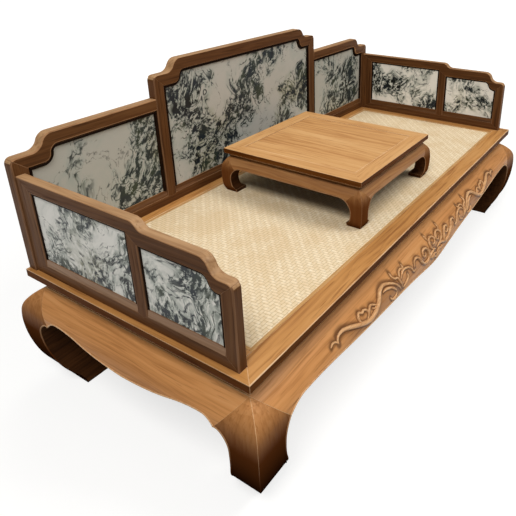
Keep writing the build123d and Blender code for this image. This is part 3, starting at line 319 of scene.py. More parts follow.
@dataclass(frozen=True)
class Rosewood:
    """Chinese rosewood, planed, scraped and oiled to a satin sheen.

    Figure shows as faint long lines, with fine pore streaks between them. Pores are really
    0.3 mm wide; they are drawn about 3 mm apart so that they show. The eye gets a warm, quiet
    surface whose lines follow each piece, and feet darkened with painted shade: brown and black
    are the heights between which the wood goes over into those tones, browned and darkest how
    far it goes. A ground with painted shadow darkens by its depth attribute.
    """

    name: str
    tone: Tone
    grain: Grain
    shift: float = 0.0
    roughness: float = 0.46
    gloss: float = 0.22
    brown: tuple[float, float] = (0.0, 0.0)
    black: tuple[float, float] = (0.0, 0.0)
    browned: float = 1.0
    darkest: float = 0.9
    shadowed_ground: bool = False

    def build(self) -> Material:
        """Make the material.

        The figure sums rings round the fibres, streaks and clouds drawn out along them, all bent
        by slow noise. The peaks of fine noise are the pores.

        Returns:
            The finish.
        """
        material, tree, shader, place = start_material(self.name, Specular_IOR_Level=self.gloss)
        offset = tuple(self.shift * way for way in SHIFT_WAYS)
        turned = mapped(tree, place, Rotation=self.grain.value, Location=offset)
        long = mapped(tree, turned, Scale=CLOUD_WAVES)
        bent = pushed(tree, turned, noise(tree, long, 1.5, output="Color"), (0.0, 0.06, 0.06))
        rings = add_node(
            tree, "TexWave", {"Vector": bent}, wave_type="RINGS", rings_direction="X", wave_profile="SAW",
            Scale=30.0, Distortion=1.2, Detail=2.0, Detail_Scale=0.6,
        ).outputs["Fac"]
        pores = noise(tree, mapped(tree, bent, Scale=PORE_WAVES), 1.0, 2.0, 0.6)
        streaks = noise(tree, mapped(tree, bent, Scale=STREAK_WAVES), 1.0, 3.0, 0.6)
        clouds = noise(tree, long, 1.4, 3.0)
        figure = times(tree, rings, RING_SHARE)
        for part, share in ((streaks, STREAK_SHARE), (clouds, CLOUD_SHARE)):
            figure = math_node(tree, "ADD", figure, times(tree, part, share))
        stops = [(0.0, self.tone.deep), (0.5, self.tone.body), (1.0, self.tone.light)]
        wood = ramp(tree, band(tree, figure, *FIGURE_SPAN), stops)
        wood = tint(tree, wood, self.tone.deep, band(tree, pores, *PORE_SPAN, 0.0, PORE_DARKNESS))
        # Painted shadow: the ground beside the carving darkens by its depth attribute.
        if self.shadowed_ground:
            depth = add_node(tree, "Attribute", attribute_name="depth").outputs["Fac"]
            wood = tint(tree, wood, PAINTED_SHADOW_BROWN, depth)
        # Painted shade: towards the feet the wood turns brown, then near black, and its gloss fades out.
        if self.brown[1]:
            height = add_node(tree, "SeparateXYZ", {0: place}).outputs["Z"]
            wood = tint(tree, wood, FOOT_SHADE_BROWN, band(tree, height, *self.brown, self.browned, 0.0))
            wood = tint(tree, wood, FOOT_SHADE_BLACK, band(tree, height, *self.black, self.darkest, 0.0))
            plug(tree, shader, Specular_IOR_Level=band(tree, height, *self.brown, 0.0, self.gloss))
        satin = band(tree, pores, 0.3, 0.8, self.roughness - 0.05, self.roughness + 0.15)
        bump = add_node(tree, "Bump", {"Height": pores}, Strength=0.08, Distance=0.4 * MM)
        plug(tree, shader, Base_Color=wood, Roughness=satin, Normal=bump.outputs["Normal"])
        return material


# Painted shade for faces turned down or towards the middle.
INNER_SHADE_WOOD = Rosewood("inner_rosewood", INNER, Grain.ALONG_X, shift=3.0, roughness=0.6, gloss=0.04)
SOFTWOOD = Rosewood("planed_softwood", PINE, Grain.ALONG_X, shift=9.0, roughness=0.6)


@dataclass(frozen=True)
class VeinedStone:
    """Honed marble sawn across its veins, as in dream stones.

    Honing leaves a flat, low gloss. Ink-dark strokes run side by side in jagged drifts over
    grey-green clouds, hair-thin veins wander off them, and between the drifts the stone is pale.
    """

    name: str
    shift: Spot
    cover: float = 0.0
    strength: float = 1.0
    stroke_scale: float = 19.0
    pale: str = "#EEEBE2"
    grey: str = "#B2B6AC"
    green: str = "#5D6656"
    ink: str = "#101415"
    blue: str = "#18222A"
    moss: str = "#303829"
    ochre: str = "#A89A66"

    def build(self) -> Material:
        """Make the material; strokes are noise drawn out along the veins and kept to the drifts.

        Returns:
            The finish.
        """
        material, tree, shader, place = start_material(self.name, Roughness=0.38, Specular_IOR_Level=0.25)
        moved = mapped(tree, place, Location=self.shift)
        bent = pushed(tree, moved, noise(tree, moved, 3.6, 3.0, output="Color"), (0.24, 0.24, 0.24))
        drift = math_node(tree, "ADD", noise(tree, bent, 4.4, 4.0, 0.58), self.cover)
        slant, reach = (0.45, 0.55, 0.5), (0.42, 0.42, 1.0)
        drawn = mapped(tree, bent, vector_type="TEXTURE", Rotation=slant, Scale=reach)
        strokes = noise(tree, drawn, self.stroke_scale, 8.0, 0.68)
        ragged = noise(tree, bent, 85.0, 4.0, 0.7)
        mixed = math_node(tree, "ADD", times(tree, strokes, 0.74), times(tree, ragged, 0.26))
        # Blots: strokes in the heart of a drift.
        blots = times(tree, band(tree, drift, 0.51, 0.56), band(tree, mixed, 0.485, 0.515))
        # Lines: the middles of 22 bands of one noise, broken up where the stone is ragged.
        bands = times(tree, noise(tree, bent, 4.2, 5.0), 22.0)
        off_line = away_from(tree, math_node(tree, "FRACT", bands), 0.5)
        lines = times(tree, band(tree, off_line, 0.07, 0.19, 1.0, 0.0), band(tree, drift, 0.48, 0.51))
        lines = times(tree, lines, band(tree, ragged, 0.40, 0.56, 0.45, 1.0))
        # Hairs: one level of another noise, all over the slab.
        off_hair = away_from(tree, noise(tree, bent, 6.0, 6.0, 0.6), 0.48)
        hairs = times(tree, band(tree, off_hair, 0.0, 0.012, 0.7, 0.0), band(tree, ragged, 0.40, 0.56))
        veins = math_node(tree, "MAXIMUM", math_node(tree, "MAXIMUM", blots, lines), hairs)
        # Clouds round the drifts, stained ochre in places, and a grey haze.
        wash = times(tree, band(tree, drift, 0.43, 0.60), band(tree, mixed, 0.38, 0.56))
        ground = ramp(tree, wash, [(0.0, self.pale), (0.5, self.grey), (1.0, self.green)])
        stain = band(tree, noise(tree, moved, 3.1, 3.0), 0.54, 0.68, 0.0, 0.6)
        ground = tint(tree, ground, self.ochre, times(tree, wash, stain))
        haze = band(tree, noise(tree, bent, 9.0, 5.0, 0.6), 0.52, 0.74, 0.0, 0.5)
        ground = tint(tree, ground, self.grey, haze)
        dark = [(0.38, self.ink), (0.52, self.blue), (0.66, self.moss)]
        inks = ramp(tree, noise(tree, moved, 9.0, 3.0), dark)
        plug(tree, shader, Base_Color=tint(tree, ground, inks, times(tree, veins, self.strength)))
        return material


@dataclass(frozen=True)
class WovenCane:
    """Split cane in a two-and-two twill, soft and matt.

    Each flat strand passes over two others, one step further in each row, so the floats climb
    in steps. Real strands are 2 mm wide; they are drawn 11 mm wide so that they show.
    """

    name: str = "woven_cane"
    strand_mm: float = 11.0
    wander_mm: float = 5.0
    shades: tuple[str, str, str] = ("#E0C8A2", "#ECD7B4", "#F2E2C6")
    patch: str = "#DCBF94"
    crossing: str = "#D9C096"
    # Painted shade in the dips between strands and at the ends of the floats.
    gap: str = "#A88A5C"

    @staticmethod
    def in_four(tree: Tree, first: Socket, second: Socket) -> Socket:
        """The first less the second, counted in fours, after which the twill repeats."""
        return math_node(tree, "FLOORED_MODULO", math_node(tree, "SUBTRACT", first, second), 4.0)

    def build(self) -> Material:
        """Make the material; row and column numbers tell which strand lies on top.

        Returns:
            The finish.
        """
        material, tree, shader, place = start_material(self.name, Roughness=0.75, Specular_IOR_Level=0.15)
        soft = pushed(tree, place, noise(tree, place, 30.0, output="Color"), (self.wander_mm * MM,) * 3)
        grid = add_node(tree, "VectorMath", {0: soft}, operation="SCALE", Scale=1.0 / (self.strand_mm * MM))
        axes = add_node(tree, "SeparateXYZ", {0: grid.outputs["Vector"]}).outputs
        column, row = (math_node(tree, "FLOOR", axes[way]) for way in ("X", "Y"))
        part_x, part_y = (math_node(tree, "FRACT", axes[way]) for way in ("X", "Y"))
        along = math_node(tree, "LESS_THAN", self.in_four(tree, column, row), 1.5)
        run_x = self.in_four(tree, axes["X"], row)
        run_y = math_node(tree, "SUBTRACT", self.in_four(tree, column, axes["Y"]), 1.0)
        across = add_node(tree, "Mix", {"Factor": along, 2: part_x, 3: part_y}).outputs[0]
        run = add_node(tree, "Mix", {"Factor": along, 2: run_y, 3: run_x}).outputs[0]
        arch = math_node(tree, "SINE", times(tree, across, math.pi))
        crown = math_node(tree, "SINE", times(tree, run, math.pi / 2))
        height = times(tree, band(tree, arch, 0.0, 0.6), band(tree, crown, -0.1, 0.75, 0.2, 1.0))
        shade = band(tree, noise(tree, place, 90.0, 3.0, 0.6), 0.25, 0.75)
        strand = ramp(tree, shade, list(zip((0.0, 0.5, 1.0), self.shades)))
        strand = tint(tree, strand, self.patch, band(tree, noise(tree, place, 9.0), 0.45, 0.65, 0.0, 0.5))
        strand = tint(tree, strand, self.crossing, times(tree, along, 0.35))
        # Painted shade: the weave darkens where it dips between strands.
        woven = tint(tree, strand, self.gap, band(tree, height, 0.0, 0.6, 0.58, 0.0))
        bump = add_node(tree, "Bump", {"Height": height}, Strength=0.35, Distance=0.8 * MM)
        plug(tree, shader, Base_Color=woven, Normal=bump.outputs["Normal"])
        return material


Finish = Rosewood | VeinedStone | WovenCane


@dataclass(frozen=True)
class Coat:
    """Finishes of one piece by the way its faces look.

    Painted light and shade: level faces take a lighter, lit copy of the wood, upright ones a
    darker, shaded copy, undersides painted shade, and the arrises a painted highlight.
    """

    level: Finish
    arris: Finish
    upright: Finish
    under: Finish


# Places of the four finishes in a dressed piece's list of materials.
LEVEL, ARRIS, UPRIGHT, UNDER = range(4)


def one_coat(recipe: Finish) -> Coat:
    """The same finish all round."""
    return Coat(recipe, recipe, recipe, recipe)


# ------------------------------------------------------------------------------ bench tools
def put_in_scene(name: str, data: bpy.types.ID) -> bpy.types.Object:
    """Put a mesh, a lamp or a camera into the scene.

    Args:
        name: Name of the object.
        data: What it shows.

    Returns:
        The object.
    """
    made = bpy.data.objects.new(name, data)
    bpy.context.scene.collection.objects.link(made)
    return made


def read(items: bpy.types.bpy_prop_collection, what: str) -> Array:
    """Read a vector that each part of a mesh has.

    Args:
        items: Vertices or polygons.
        what: Name of the vector.

    Returns:
        The vectors, n by 3.
    """
    flat = np.zeros(len(items) * 3)
    items.foreach_get(what, flat)
    return flat.reshape(-1, 3)


def merged(mesh: bpy.types.Mesh) -> bmesh.types.BMesh:
    """Open a mesh of loose triangles with their doubled corners merged.

    Args:
        mesh: Mesh of a CAD node.

    Returns:
        The merged work mesh.
    """
    work = bmesh.new()
    work.from_mesh(mesh)
    bmesh.ops.remove_doubles(work, verts=work.verts, dist=MERGE)
    return work


def middle_of(edge: bmesh.types.BMEdge) -> Vector:
    """The middle of an edge."""
    return (edge.verts[0].co + edge.verts[1].co) / 2


def unit(rows: Array) -> Array:
    """Scale each row to length one."""
    return rows / np.linalg.norm(rows, axis=1, keepdims=True)


def resample(rows: Array, steps: Array, places: Array) -> Array:
    """Read rows that stand at some steps along a line off at other places along it."""
    return np.stack([np.interp(places, steps, column) for column in rows.T], 1)


# ------------------------------------------------------------------------------ dressed copies
class Touching:
    """Tells whether a point of one CAD node lies on the surface of another."""

    reach: float = 0.35 * MM

    def __init__(self) -> None:
        """Gather the faces of all CAD nodes, each with its owner's name."""
        corners, faces, self.owner = [], [], []
        for name, node in frame["nodes"].items():
            start = len(corners)
            corners.extend(v.co.copy() for v in node.data.vertices)
            faces.extend([start + i for i in polygon.vertices] for polygon in node.data.polygons)
            self.owner.extend([name] * len(node.data.polygons))
        self.tree = BVHTree.FromPolygons(corners, faces)

    def neighbour(self, node: str, point: Vector) -> bool:
        """True where another node touches this one at the point."""
        return any(self.owner[found[2]] != node for found in self.tree.find_nearest_range(point, self.reach))


@dataclass
class Dresser:
    """Turns machined CAD pieces into finished ones.

    A dressed piece is a merged copy of its CAD node. Coplanar facets become one face, outward
    arrises are rounded over and take a painted highlight, and where two pieces meet the rounding
    shrinks to a hairline seam. The slopes below are heights of a face's normal; they sort the faces
    into lit, shaded and dark copies of the wood, which is painted light and shade.
    """

    touching: Touching
    arris_angle: float = math.radians(30.0)
    flat_angle: float = math.radians(0.5)
    level_slope: float = 0.35
    sill_slope: float = 0.08
    under_slope: float = -0.15
    hollow_slope: float = -0.85
    inward: float = -0.15
    arris_steps: int = 3
    finishes: dict[str, Material] = field(default_factory=dict)

    def finish(self, recipe: Finish) -> Material:
        """Build a finish once and keep it by name.

        Args:
            recipe: The finish.

        Returns:
            Its material.
        """
        if recipe.name not in self.finishes:
            self.finishes[recipe.name] = recipe.build()
        return self.finishes[recipe.name]

    def weight(self, edge: bmesh.types.BMEdge, node: str, seam: float) -> float:
        """Tell how much of the full rounding an edge gets.

        Args:
            edge: Edge of the piece.
            node: The piece's CAD node.
            seam: Share that is left where another piece touches.

        Returns:
            A share from 0 to 1.
        """
        if not edge.is_manifold or not edge.is_convex or edge.calc_face_angle(0.0) < self.arris_angle:
            return 0.0
        return seam if self.touching.neighbour(node, middle_of(edge)) else 1.0

    def looks(self, mesh: bpy.types.Mesh, hollow: bool, sills: bool) -> Array:
        """Sort faces by their slope and by how far they look away from the bed's middle.

        Args:
            mesh: Mesh of the piece.
            hollow: Whether faces that look to the bed's middle count as undersides.
            sills: Whether sloping faces that look away from the bed count as level ones.

        Returns:
            For each face the place of its finish.
        """
        normals, middles = read(mesh.polygons, "normal"), read(mesh.polygons, "center")
        outward = (normals[:, :2] * middles[:, :2]).sum(1) / np.linalg.norm(middles[:, :2], axis=1)
        # Painted light and shade: down-turned faces, and with hollow those turned to the bed's middle, take
        # the dark finish; level faces the lit one; with sills, outward slopes the painted sheen; the rest
        # the shaded one.
        hidden = normals[:, 2] < (self.hollow_slope if hollow else self.under_slope)
        if hollow:
            hidden |= outward < self.inward
        level = normals[:, 2] > self.level_slope
        if sills:
            level |= (normals[:, 2] > self.sill_slope) & (outward > 0.0)
        return np.where(hidden, UNDER, np.where(level, LEVEL, UPRIGHT)).astype(np.int32)

    def dress(
        self, node: str, body: str, coat: Coat, arris_mm: float, seam_mm: float = 0.7,
        hollow: bool = False, sills: bool = False,
    ) -> bpy.types.Object:
        """Dress one CAD node.

        Args:
            node: Name of the CAD node that the piece stands for.
            body: Body that it rides on.
            coat: Finishes of the piece.
            arris_mm: Width of the rounded arris.
            seam_mm: Width of the rounding where another piece touches.
            hollow: Whether faces that look to the bed's middle are finished as undersides.
            sills: Whether sloping faces that look away from the bed are finished as level ones.

        Returns:
            The new piece.
        """
        mesh = frame["nodes"][node].data.copy()
        work = merged(mesh)
        bmesh.ops.dissolve_limit(work, angle_limit=self.flat_angle, verts=work.verts, edges=work.edges)
        weights = [self.weight(edge, node, min(1.0, seam_mm / arris_mm)) for edge in work.edges]
        work.to_mesh(mesh)
        work.free()
        mesh.attributes.new("bevel_weight_edge", "FLOAT", "EDGE").data.foreach_set("value", weights)
        mesh.materials.clear()
        for recipe in (coat.level, coat.arris, coat.upright, coat.under):
            mesh.materials.append(self.finish(recipe))
        mesh.polygons.foreach_set("material_index", self.looks(mesh, hollow, sills))
        mesh.polygons.foreach_set("use_smooth", np.ones(len(mesh.polygons), bool))
        mesh.set_sharp_from_angle(angle=self.arris_angle)
        piece = put_in_scene(f"{node}_finished", mesh)
        arris = piece.modifiers.new("arris", "BEVEL")
        arris.width = arris_mm * MM
        arris.segments = self.arris_steps
        arris.limit_method = "WEIGHT"
        # The rounded arrises take the arris finish, a painted highlight.
        arris.material = ARRIS
        arris.harden_normals = True
        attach(piece, body)
        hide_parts(node)
        log.info("%s dressed with a %.1f mm arris", node, arris_mm)
        return piece


# ------------------------------------------------------------------------------ worked edges and carving
def sweep(path: Array, normals: Array, width: Array, height: Array, sides: int = 8) -> Rib:
    """Sweep a low rounded rib along a path.

    Its section is half an ellipse of the given width and height. The half below the surface is
    flattened to about a third, so that the foot of the rib is buried.

    Args:
        path: Points of the rib's foot, n by 3.
        normals: Outward normals of the surface at those points, n by 3.
        width: Width of the rib at each point.
        height: Height of the rib at each point.
        sides: Corners of its section.

    Returns:
        Corners and faces of the rib's mesh.
    """
    across = unit(np.cross(unit(np.gradient(path, axis=0)), normals))
    turn = np.linspace(0.0, 2 * np.pi, sides, endpoint=False)
    rise = np.where(np.sin(turn) > 0, np.sin(turn), BURIED_SHARE * np.sin(turn))
    corners = (
        path[:, None]
        + across[:, None] * (np.cos(turn)[None, :, None] * width[:, None, None] / 2)
        + normals[:, None] * (rise[None, :, None] * height[:, None, None])
    )
    rows = np.arange(len(path) - 1)[:, None] * sides
    this = np.arange(sides)[None]
    after = (this + 1) % sides
    faces = np.stack([rows + this, rows + after, rows + after + sides, rows + this + sides], 2)
    return corners.reshape(-1, 3), faces.reshape(-1, 4)


def smooth_path(points: tuple[tuple[float, float], ...], step: float) -> Array:
    """Run a smooth curve through points, each span a cubic whose slopes follow its neighbours.

    Args:
        points: Plan points that the curve passes.
        step: Spacing of the returned points.

    Returns:
        Points of the curve, n by 2.
    """
    base = np.array(points, float)
    ends = np.vstack([2 * base[0] - base[1], base, 2 * base[-1] - base[-2]])
    spans = []
    for before, start, end, after in zip(ends[:-3], ends[1:-2], ends[2:-1], ends[3:]):
        count = max(3, int(np.linalg.norm(end - start) / step))
        t = np.linspace(0.0, 1.0, count, endpoint=False)[:, None]
        spans.append(
            start
            + t * (end - before) / 2
            + t**2 * (2 * before - 5 * start + 4 * end - after) / 2
            + t**3 * (3 * start - 3 * end + after - before) / 2
        )
    return np.vstack([*spans, base[-1:]])


def make_piece(name: str, parts: list[Rib], body: str, material: Material) -> bpy.types.Object:
    """Join swept parts into one smooth piece.

    Args:
        name: Name of the piece.
        parts: Corners and faces of each part.
        body: Body that it rides on.
        material: Its finish.

    Returns:
        The new piece.
    """
    offsets = np.cumsum([0] + [len(corners) for corners, _ in parts])
    corners = np.vstack([part_corners for part_corners, _ in parts])
    faces = np.vstack([part_faces + offset for (_, part_faces), offset in zip(parts, offsets)])
    mesh = bpy.data.meshes.new(name)
    mesh.from_pydata(corners.tolist(), [], faces.tolist())
    mesh.polygons.foreach_set("use_smooth", np.ones(len(mesh.polygons), bool))
    mesh.materials.append(material)
    piece = put_in_scene(name, mesh)
    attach(piece, body)
    log.info("%s made of %d parts", name, len(parts))
    return piece


@dataclass
class EdgeBead:
    """A slim raised bead along the free lower edge of an apron or a leg.

    The bead follows the edges where the swelling face turns under, a little inside them. Edges
    at a seam, at the top, at the sole and at the outer arris of a leg get none.
    """

    touching: Touching
    width: float
    height: float
    inset: float = 0.62
    spacing: float = 0.006
    fold: float = math.radians(30.0)
    skin_least: float = 0.35
    turned_most: float = 0.30
    top_slope: float = 0.5
    outer_most: float = 0.25
    sole_slope: float = -0.98
    sole_height: float = 0.002

    def skin_at(self, edge: bmesh.types.BMEdge, node: str, outward: Vector) -> bmesh.types.BMFace | None:
        """Find the swelling face beside an edge that the bead follows.

        Args:
            edge: Edge of the merged node.
            node: CAD node that it belongs to.
            outward: Direction that the swelling face looks in.

        Returns:
            The face, or None where the bead doesn't run along the edge.
        """
        if not edge.is_manifold or edge.calc_face_angle(0.0) < self.fold:
            return None
        skin, other = edge.link_faces
        if skin.normal @ outward < other.normal @ outward:
            skin, other = other, skin
        middle = middle_of(edge)
        flush = skin.normal @ outward < self.skin_least or other.normal @ outward > self.turned_most
        top = other.normal.z > self.top_slope
        outer = other.normal.xy @ middle.xy > self.outer_most * middle.xy.length
        sole = other.normal.z < self.sole_slope and middle.z < self.sole_height
        left_out = flush or top or outer or sole or self.touching.neighbour(node, middle)
        return None if left_out else skin

    def chains(self, node: str, outward: Vector) -> list[tuple[Array, Array, Array]]:
        """Find the runs of edges that the bead follows.

        Args:
            node: CAD node to search.
            outward: Direction that the swelling face looks in.

        Returns:
            For each run its points, the face's normals there and the directions into the face.
        """
        work = merged(frame["nodes"][node].data)
        links, normal, inward = {}, {}, {}
        for edge in work.edges:
            skin = self.skin_at(edge, node, outward)
            if skin is None:
                continue
            into = (skin.calc_center_median() - middle_of(edge)).normalized()
            along = (edge.verts[1].co - edge.verts[0].co).normalized()
            into = (into - along * (into @ along)).normalized()
            for vert in edge.verts:
                for table, value in ((links, edge), (normal, skin.normal.copy()), (inward, into)):
                    table.setdefault(vert.index, []).append(value)
        runs, seen = [], set()
        for start in [i for i, edges in links.items() if len(edges) == 1] + list(links):
            run, here = [start], start
            while (step := next((e for e in links[here] if e.index not in seen), None)) is not None:
                seen.add(step.index)
                here = step.verts[1].index if step.verts[0].index == here else step.verts[0].index
                run.append(here)
            if len(run) > 2:
                work.verts.ensure_lookup_table()
                points = np.array([work.verts[i].co[:] for i in run])
                facing, into = (
                    np.array([sum(table[i], Vector()).normalized()[:] for i in run])
                    for table in (normal, inward)
                )
                runs.append((points, facing, into))
        work.free()
        return runs

    def ribs(self, node: str, outward: Vector) -> list[Rib]:
        """Make the bead's swept parts for one face of a node.

        Args:
            node: CAD node that carries the bead.
            outward: Direction that the face looks in.

        Returns:
            One part for each run.
        """
        made = []
        for points, normals, inward in self.chains(node, outward):
            steps = np.r_[0.0, np.cumsum(np.linalg.norm(np.diff(points, axis=0), axis=1))]
            count = max(4, int(steps[-1] / self.spacing))
            places = np.linspace(0.0, steps[-1], count)
            foot, into, facing = (resample(rows, steps, places) for rows in (points, inward, normals))
            path = foot + into * self.width * self.inset
            made.append(sweep(path, unit(facing), np.full(count, self.width), np.full(count, self.height)))
        return made


@dataclass(frozen=True)
class Tendril:
    """One carved line: its points, width and height in mm."""

    points: tuple[tuple[float, float], ...]
    width: float
    height: float

    def mirrored(self, turn: int) -> "Tendril":
        """The same line, or with a turn of -1 its mirror image."""
        return replace(self, points=tuple((turn * x, z) for x, z in self.points))


@dataclass
class ApronCarving:
    """Scrolling tendrils carved in relief along the lower half of the front apron.

    The design is the usual curling-grass scroll: a stem rises from each end, rolls over in a wave
    and throws off curls, and two spirals meet under a pair of ears in the middle. The two halves
    mirror each other. Points are millimetres along the bed and above the floor, and the relief
    follows the apron's swell. Beside each tendril and below the stem a thin skin lays painted shadow on the
    ground.
    """

    wood: Rosewood
    body: str = "base"
    node: str = "front_apron"
    thicker: float = 1.3
    thin_end: float = 0.22
    swell_in: float = 5.0
    swell_out: float = 3.0
    swell_power: float = 0.7
    rib_step_mm: float = 3.5
    cut_step_mm: float = 4.0
    reach: float = 0.74
    top: float = 0.345
    edge_gap: float = 5.5 * MM
    skin: float = 0.35 * MM
    columns: int = 520
    rows: int = 44
    probe: float = 0.005
    beside_shadow: float = 0.70
    beside_reach: float = 5.0 * MM
    below_shadow: float = 0.62
    below_reach: float = 34.0 * MM
    below_from: float = 0.300
    below_to: float = 0.700
    fade_near: float = 0.03
    fade_far: float = 0.10
    stem: tuple = (
        (-694, 302), (-692, 310), (-679, 316), (-658, 317), (-642, 314), (-612, 305), (-572, 290),
        (-539, 280), (-515, 277), (-490, 284), (-463, 296), (-445, 308), (-429, 316), (-402, 319),
        (-374, 312), (-347, 299), (-326, 281), (-310, 262),
    )
    spiral: tuple = (
        (-197, 282), (-190, 298), (-172, 303), (-156, 296), (-144, 280), (-130, 266), (-112, 255),
        (-90, 251), (-74, 260), (-73, 277), (-80, 293), (-96, 303), (-113, 302), (-121, 291),
        (-112, 280), (-99, 282), (-97, 291),
    )
    curls: tuple = (
        Tendril(((-728, 309), (-716, 313), (-705, 312), (-698, 308), (-692, 301)), 5.0, 2.6),
        Tendril(((-420, 307), (-396, 306), (-367, 296), (-346, 279), (-338, 266)), 7.0, 4.0),
        Tendril((
            (-556, 285), (-576, 299), (-574, 311), (-563, 317), (-552, 311), (-541, 313), (-529, 309),
            (-524, 300), (-529, 290), (-543, 284),
        ), 6.5, 4.4),
        Tendril(((-524, 292), (-516, 304), (-503, 309), (-490, 305), (-478, 298), (-462, 294)), 6.0, 4.0),
        Tendril(((-500, 300), (-489, 293), (-477, 297)), 5.0, 3.0),
        Tendril((
            (-340, 328), (-342, 317), (-333, 308), (-320, 305), (-312, 292), (-303, 274), (-296, 258),
        ), 6.5, 4.4),
        Tendril(((-262, 322), (-266, 312), (-282, 315), (-298, 312), (-306, 303), (-314, 292)), 6.0, 4.0),
        Tendril((
            (-304, 292), (-279, 306), (-255, 306), (-232, 299), (-219, 288), (-212, 277), (-200, 269),
            (-193, 276),
        ), 6.5, 4.6),
        Tendril(((-252, 290), (-254, 274), (-270, 264), (-292, 257)), 7.0, 3.6),
        Tendril(((-390, 276), (-381, 263), (-364, 257), (-349, 260), (-338, 268)), 6.5, 4.0),
        Tendril(((-92, 251), (-68, 258), (-46, 266), (-24, 269), (-4, 260)), 8.0, 5.0),
        Tendril((
            (-26, 266), (-45, 281), (-53, 296), (-47, 309), (-31, 315), (-13, 310), (-6, 299), (-14, 290),
            (-28, 289), (-34, 297),
        ), 7.0, 5.0),
        Tendril(((-56, 330), (-55, 319), (-48, 309)), 5.0, 3.4),
        Tendril(((-62, 250), (-42, 246), (-22, 250), (-8, 244), (0, 236)), 7.5, 4.6),
        Tendril(((-40, 236), (-24, 238), (-12, 232), (0, 222)), 7.0, 4.2),
    )

    def profile(self) -> Rib:
        """Read the apron's outer outline from its mesh.

        Returns:
            Heights, and the outermost Y at each, without those that lie well behind a lower one.
        """
        same_level, set_back = 6e-4, 0.004
        spots = read(frame["nodes"][self.node].data.vertices, "co")
        levels = np.unique(np.round(spots[:, 2], 3))
        outer = np.array([spots[np.abs(spots[:, 2] - z) < same_level, 1].min() for z in levels])
        skin = np.minimum.accumulate(outer[::-1])[::-1] >= outer - set_back
        return levels[skin], outer[skin]

    def onto(self, plan: Array, lift: float) -> Rib:
        """Lay plan points on the apron; the slope is measured a probe above and below each.

        Args:
            plan: Points along the bed and above the floor, n by 2.
            lift: Distance off the surface.

        Returns:
            The points and the surface's normals there.
        """
        levels, outer = self.profile()
        reach, above, below = (
            np.interp(plan[:, 1] + off, levels, outer) for off in (0.0, self.probe, -self.probe)
        )
        slope = (above - below) / (2 * self.probe)
        normals = unit(np.stack([np.zeros(len(plan)), -np.ones(len(plan)), slope], 1))
        return np.stack([plan[:, 0], reach, plan[:, 1]], 1) + normals * lift, normals

    def rib(self, line: Tendril) -> Rib:
        """Sweep one tendril, full over most of its length and thin towards both ends.

        Its fullness is a power of a line that climbs over the first fifth of the length, stays
        at one, and falls over the last third.

        Args:
            line: The tendril.

        Returns:
            Corners and faces of its mesh.
        """
        plan = smooth_path(line.points, self.rib_step_mm) * MM
        path, normals = self.onto(plan, 0.0)
        part = np.linspace(0.0, 1.0, len(plan))
        ends = np.minimum(part * self.swell_in, (1.0 - part) * self.swell_out)
        fullness = np.minimum(1.0, ends) ** self.swell_power
        swell = MM * self.thicker * (self.thin_end + (1.0 - self.thin_end) * fullness)
        return sweep(path, normals, line.width * swell, line.height * swell)

    def depth(self, plan: Array, lines: list[Tendril]) -> Array:
        """Tell how much painted shadow the ground takes: most beside a tendril, less below the stem.

        Beside a tendril the shadow falls off as a bell curve of the gap to it. Below the stem it
        loses the same share with every millimetre, and it fades out towards both of its ends.

        Args:
            plan: Points along the bed and above the floor, n by 2.
            lines: All tendrils.

        Returns:
            A value from 0 to 1 at each point.
        """
        gap = np.full(len(plan), 1.0)
        for line in lines:
            drawn = smooth_path(line.points, self.cut_step_mm)[None] * MM
            apart = np.linalg.norm(plan[:, None] - drawn, axis=2).min(1)
            gap = np.minimum(gap, np.maximum(0.0, apart - line.width * MM * self.thicker / 2))
        beside = self.beside_shadow * np.exp(-((gap / self.beside_reach) ** 2))
        stem = np.array(self.stem, float) * MM
        out = np.abs(plan[:, 0])
        drop = np.interp(-out, stem[:, 0], stem[:, 1]) - plan[:, 1]
        fade_out = np.clip((self.below_to - out) / self.fade_far, 0.0, 1.0)
        fade_in = np.clip((out - self.below_from) / self.fade_near, 0.0, 1.0)
        falling = np.where(drop > 0.0, np.exp(-drop / self.below_reach), 0.0)
        return np.maximum(beside, self.below_shadow * fade_out * fade_in * falling)

    def ground(self, lines: list[Tendril], lower: Array, material: Material) -> None:
        """Lay the ground between the tendrils as a thin skin on the apron that carries painted shadow.

        It is a grid whose columns run straight up from a little above the apron's lower edge to
        one level, in equal steps.

        Args:
            lines: All tendrils.
            lower: Points of the apron's lower edge, n by 3.
            material: Finish of the ground.
        """
        across = np.linspace(-self.reach, self.reach, self.columns)
        order = np.argsort(lower[:, 0])
        low = np.interp(across, lower[order, 0], lower[order, 2]) + self.edge_gap
        heights = low[:, None] + (self.top - low)[:, None] * np.linspace(0.0, 1.0, self.rows)[None]
        plan = np.stack([np.repeat(across, self.rows), heights.ravel()], 1)
        corners, _ = self.onto(plan, self.skin)
        first = np.arange(self.columns - 1)[:, None] * self.rows + np.arange(self.rows - 1)[None]
        second = first + self.rows
        faces = np.stack([first, second, second + 1, first + 1], 2).reshape(-1, 4)
        piece = make_piece("carved_ground", [(corners, faces)], self.body, material)
        # The depth attribute holds the share of painted shadow at each corner.
        cut = self.depth(plan, lines)
        piece.data.attributes.new("depth", "FLOAT", "POINT").data.foreach_set("value", cut)

    def build(self, dresser: Dresser, bead: EdgeBead) -> None:
        """Carve both halves of the scroll in a lighter tone as painted highlight, and lay painted shadow on
        the ground beside it.

        Args:
            dresser: Keeper of the finishes.
            bead: The apron's bead, which knows its lower edge.
        """
        half = (Tendril(self.stem, 11.0, 7.0), Tendril(self.spiral, 8.5, 6.0), *self.curls)
        lines = [line.mirrored(turn) for turn in (1, -1) for line in half]
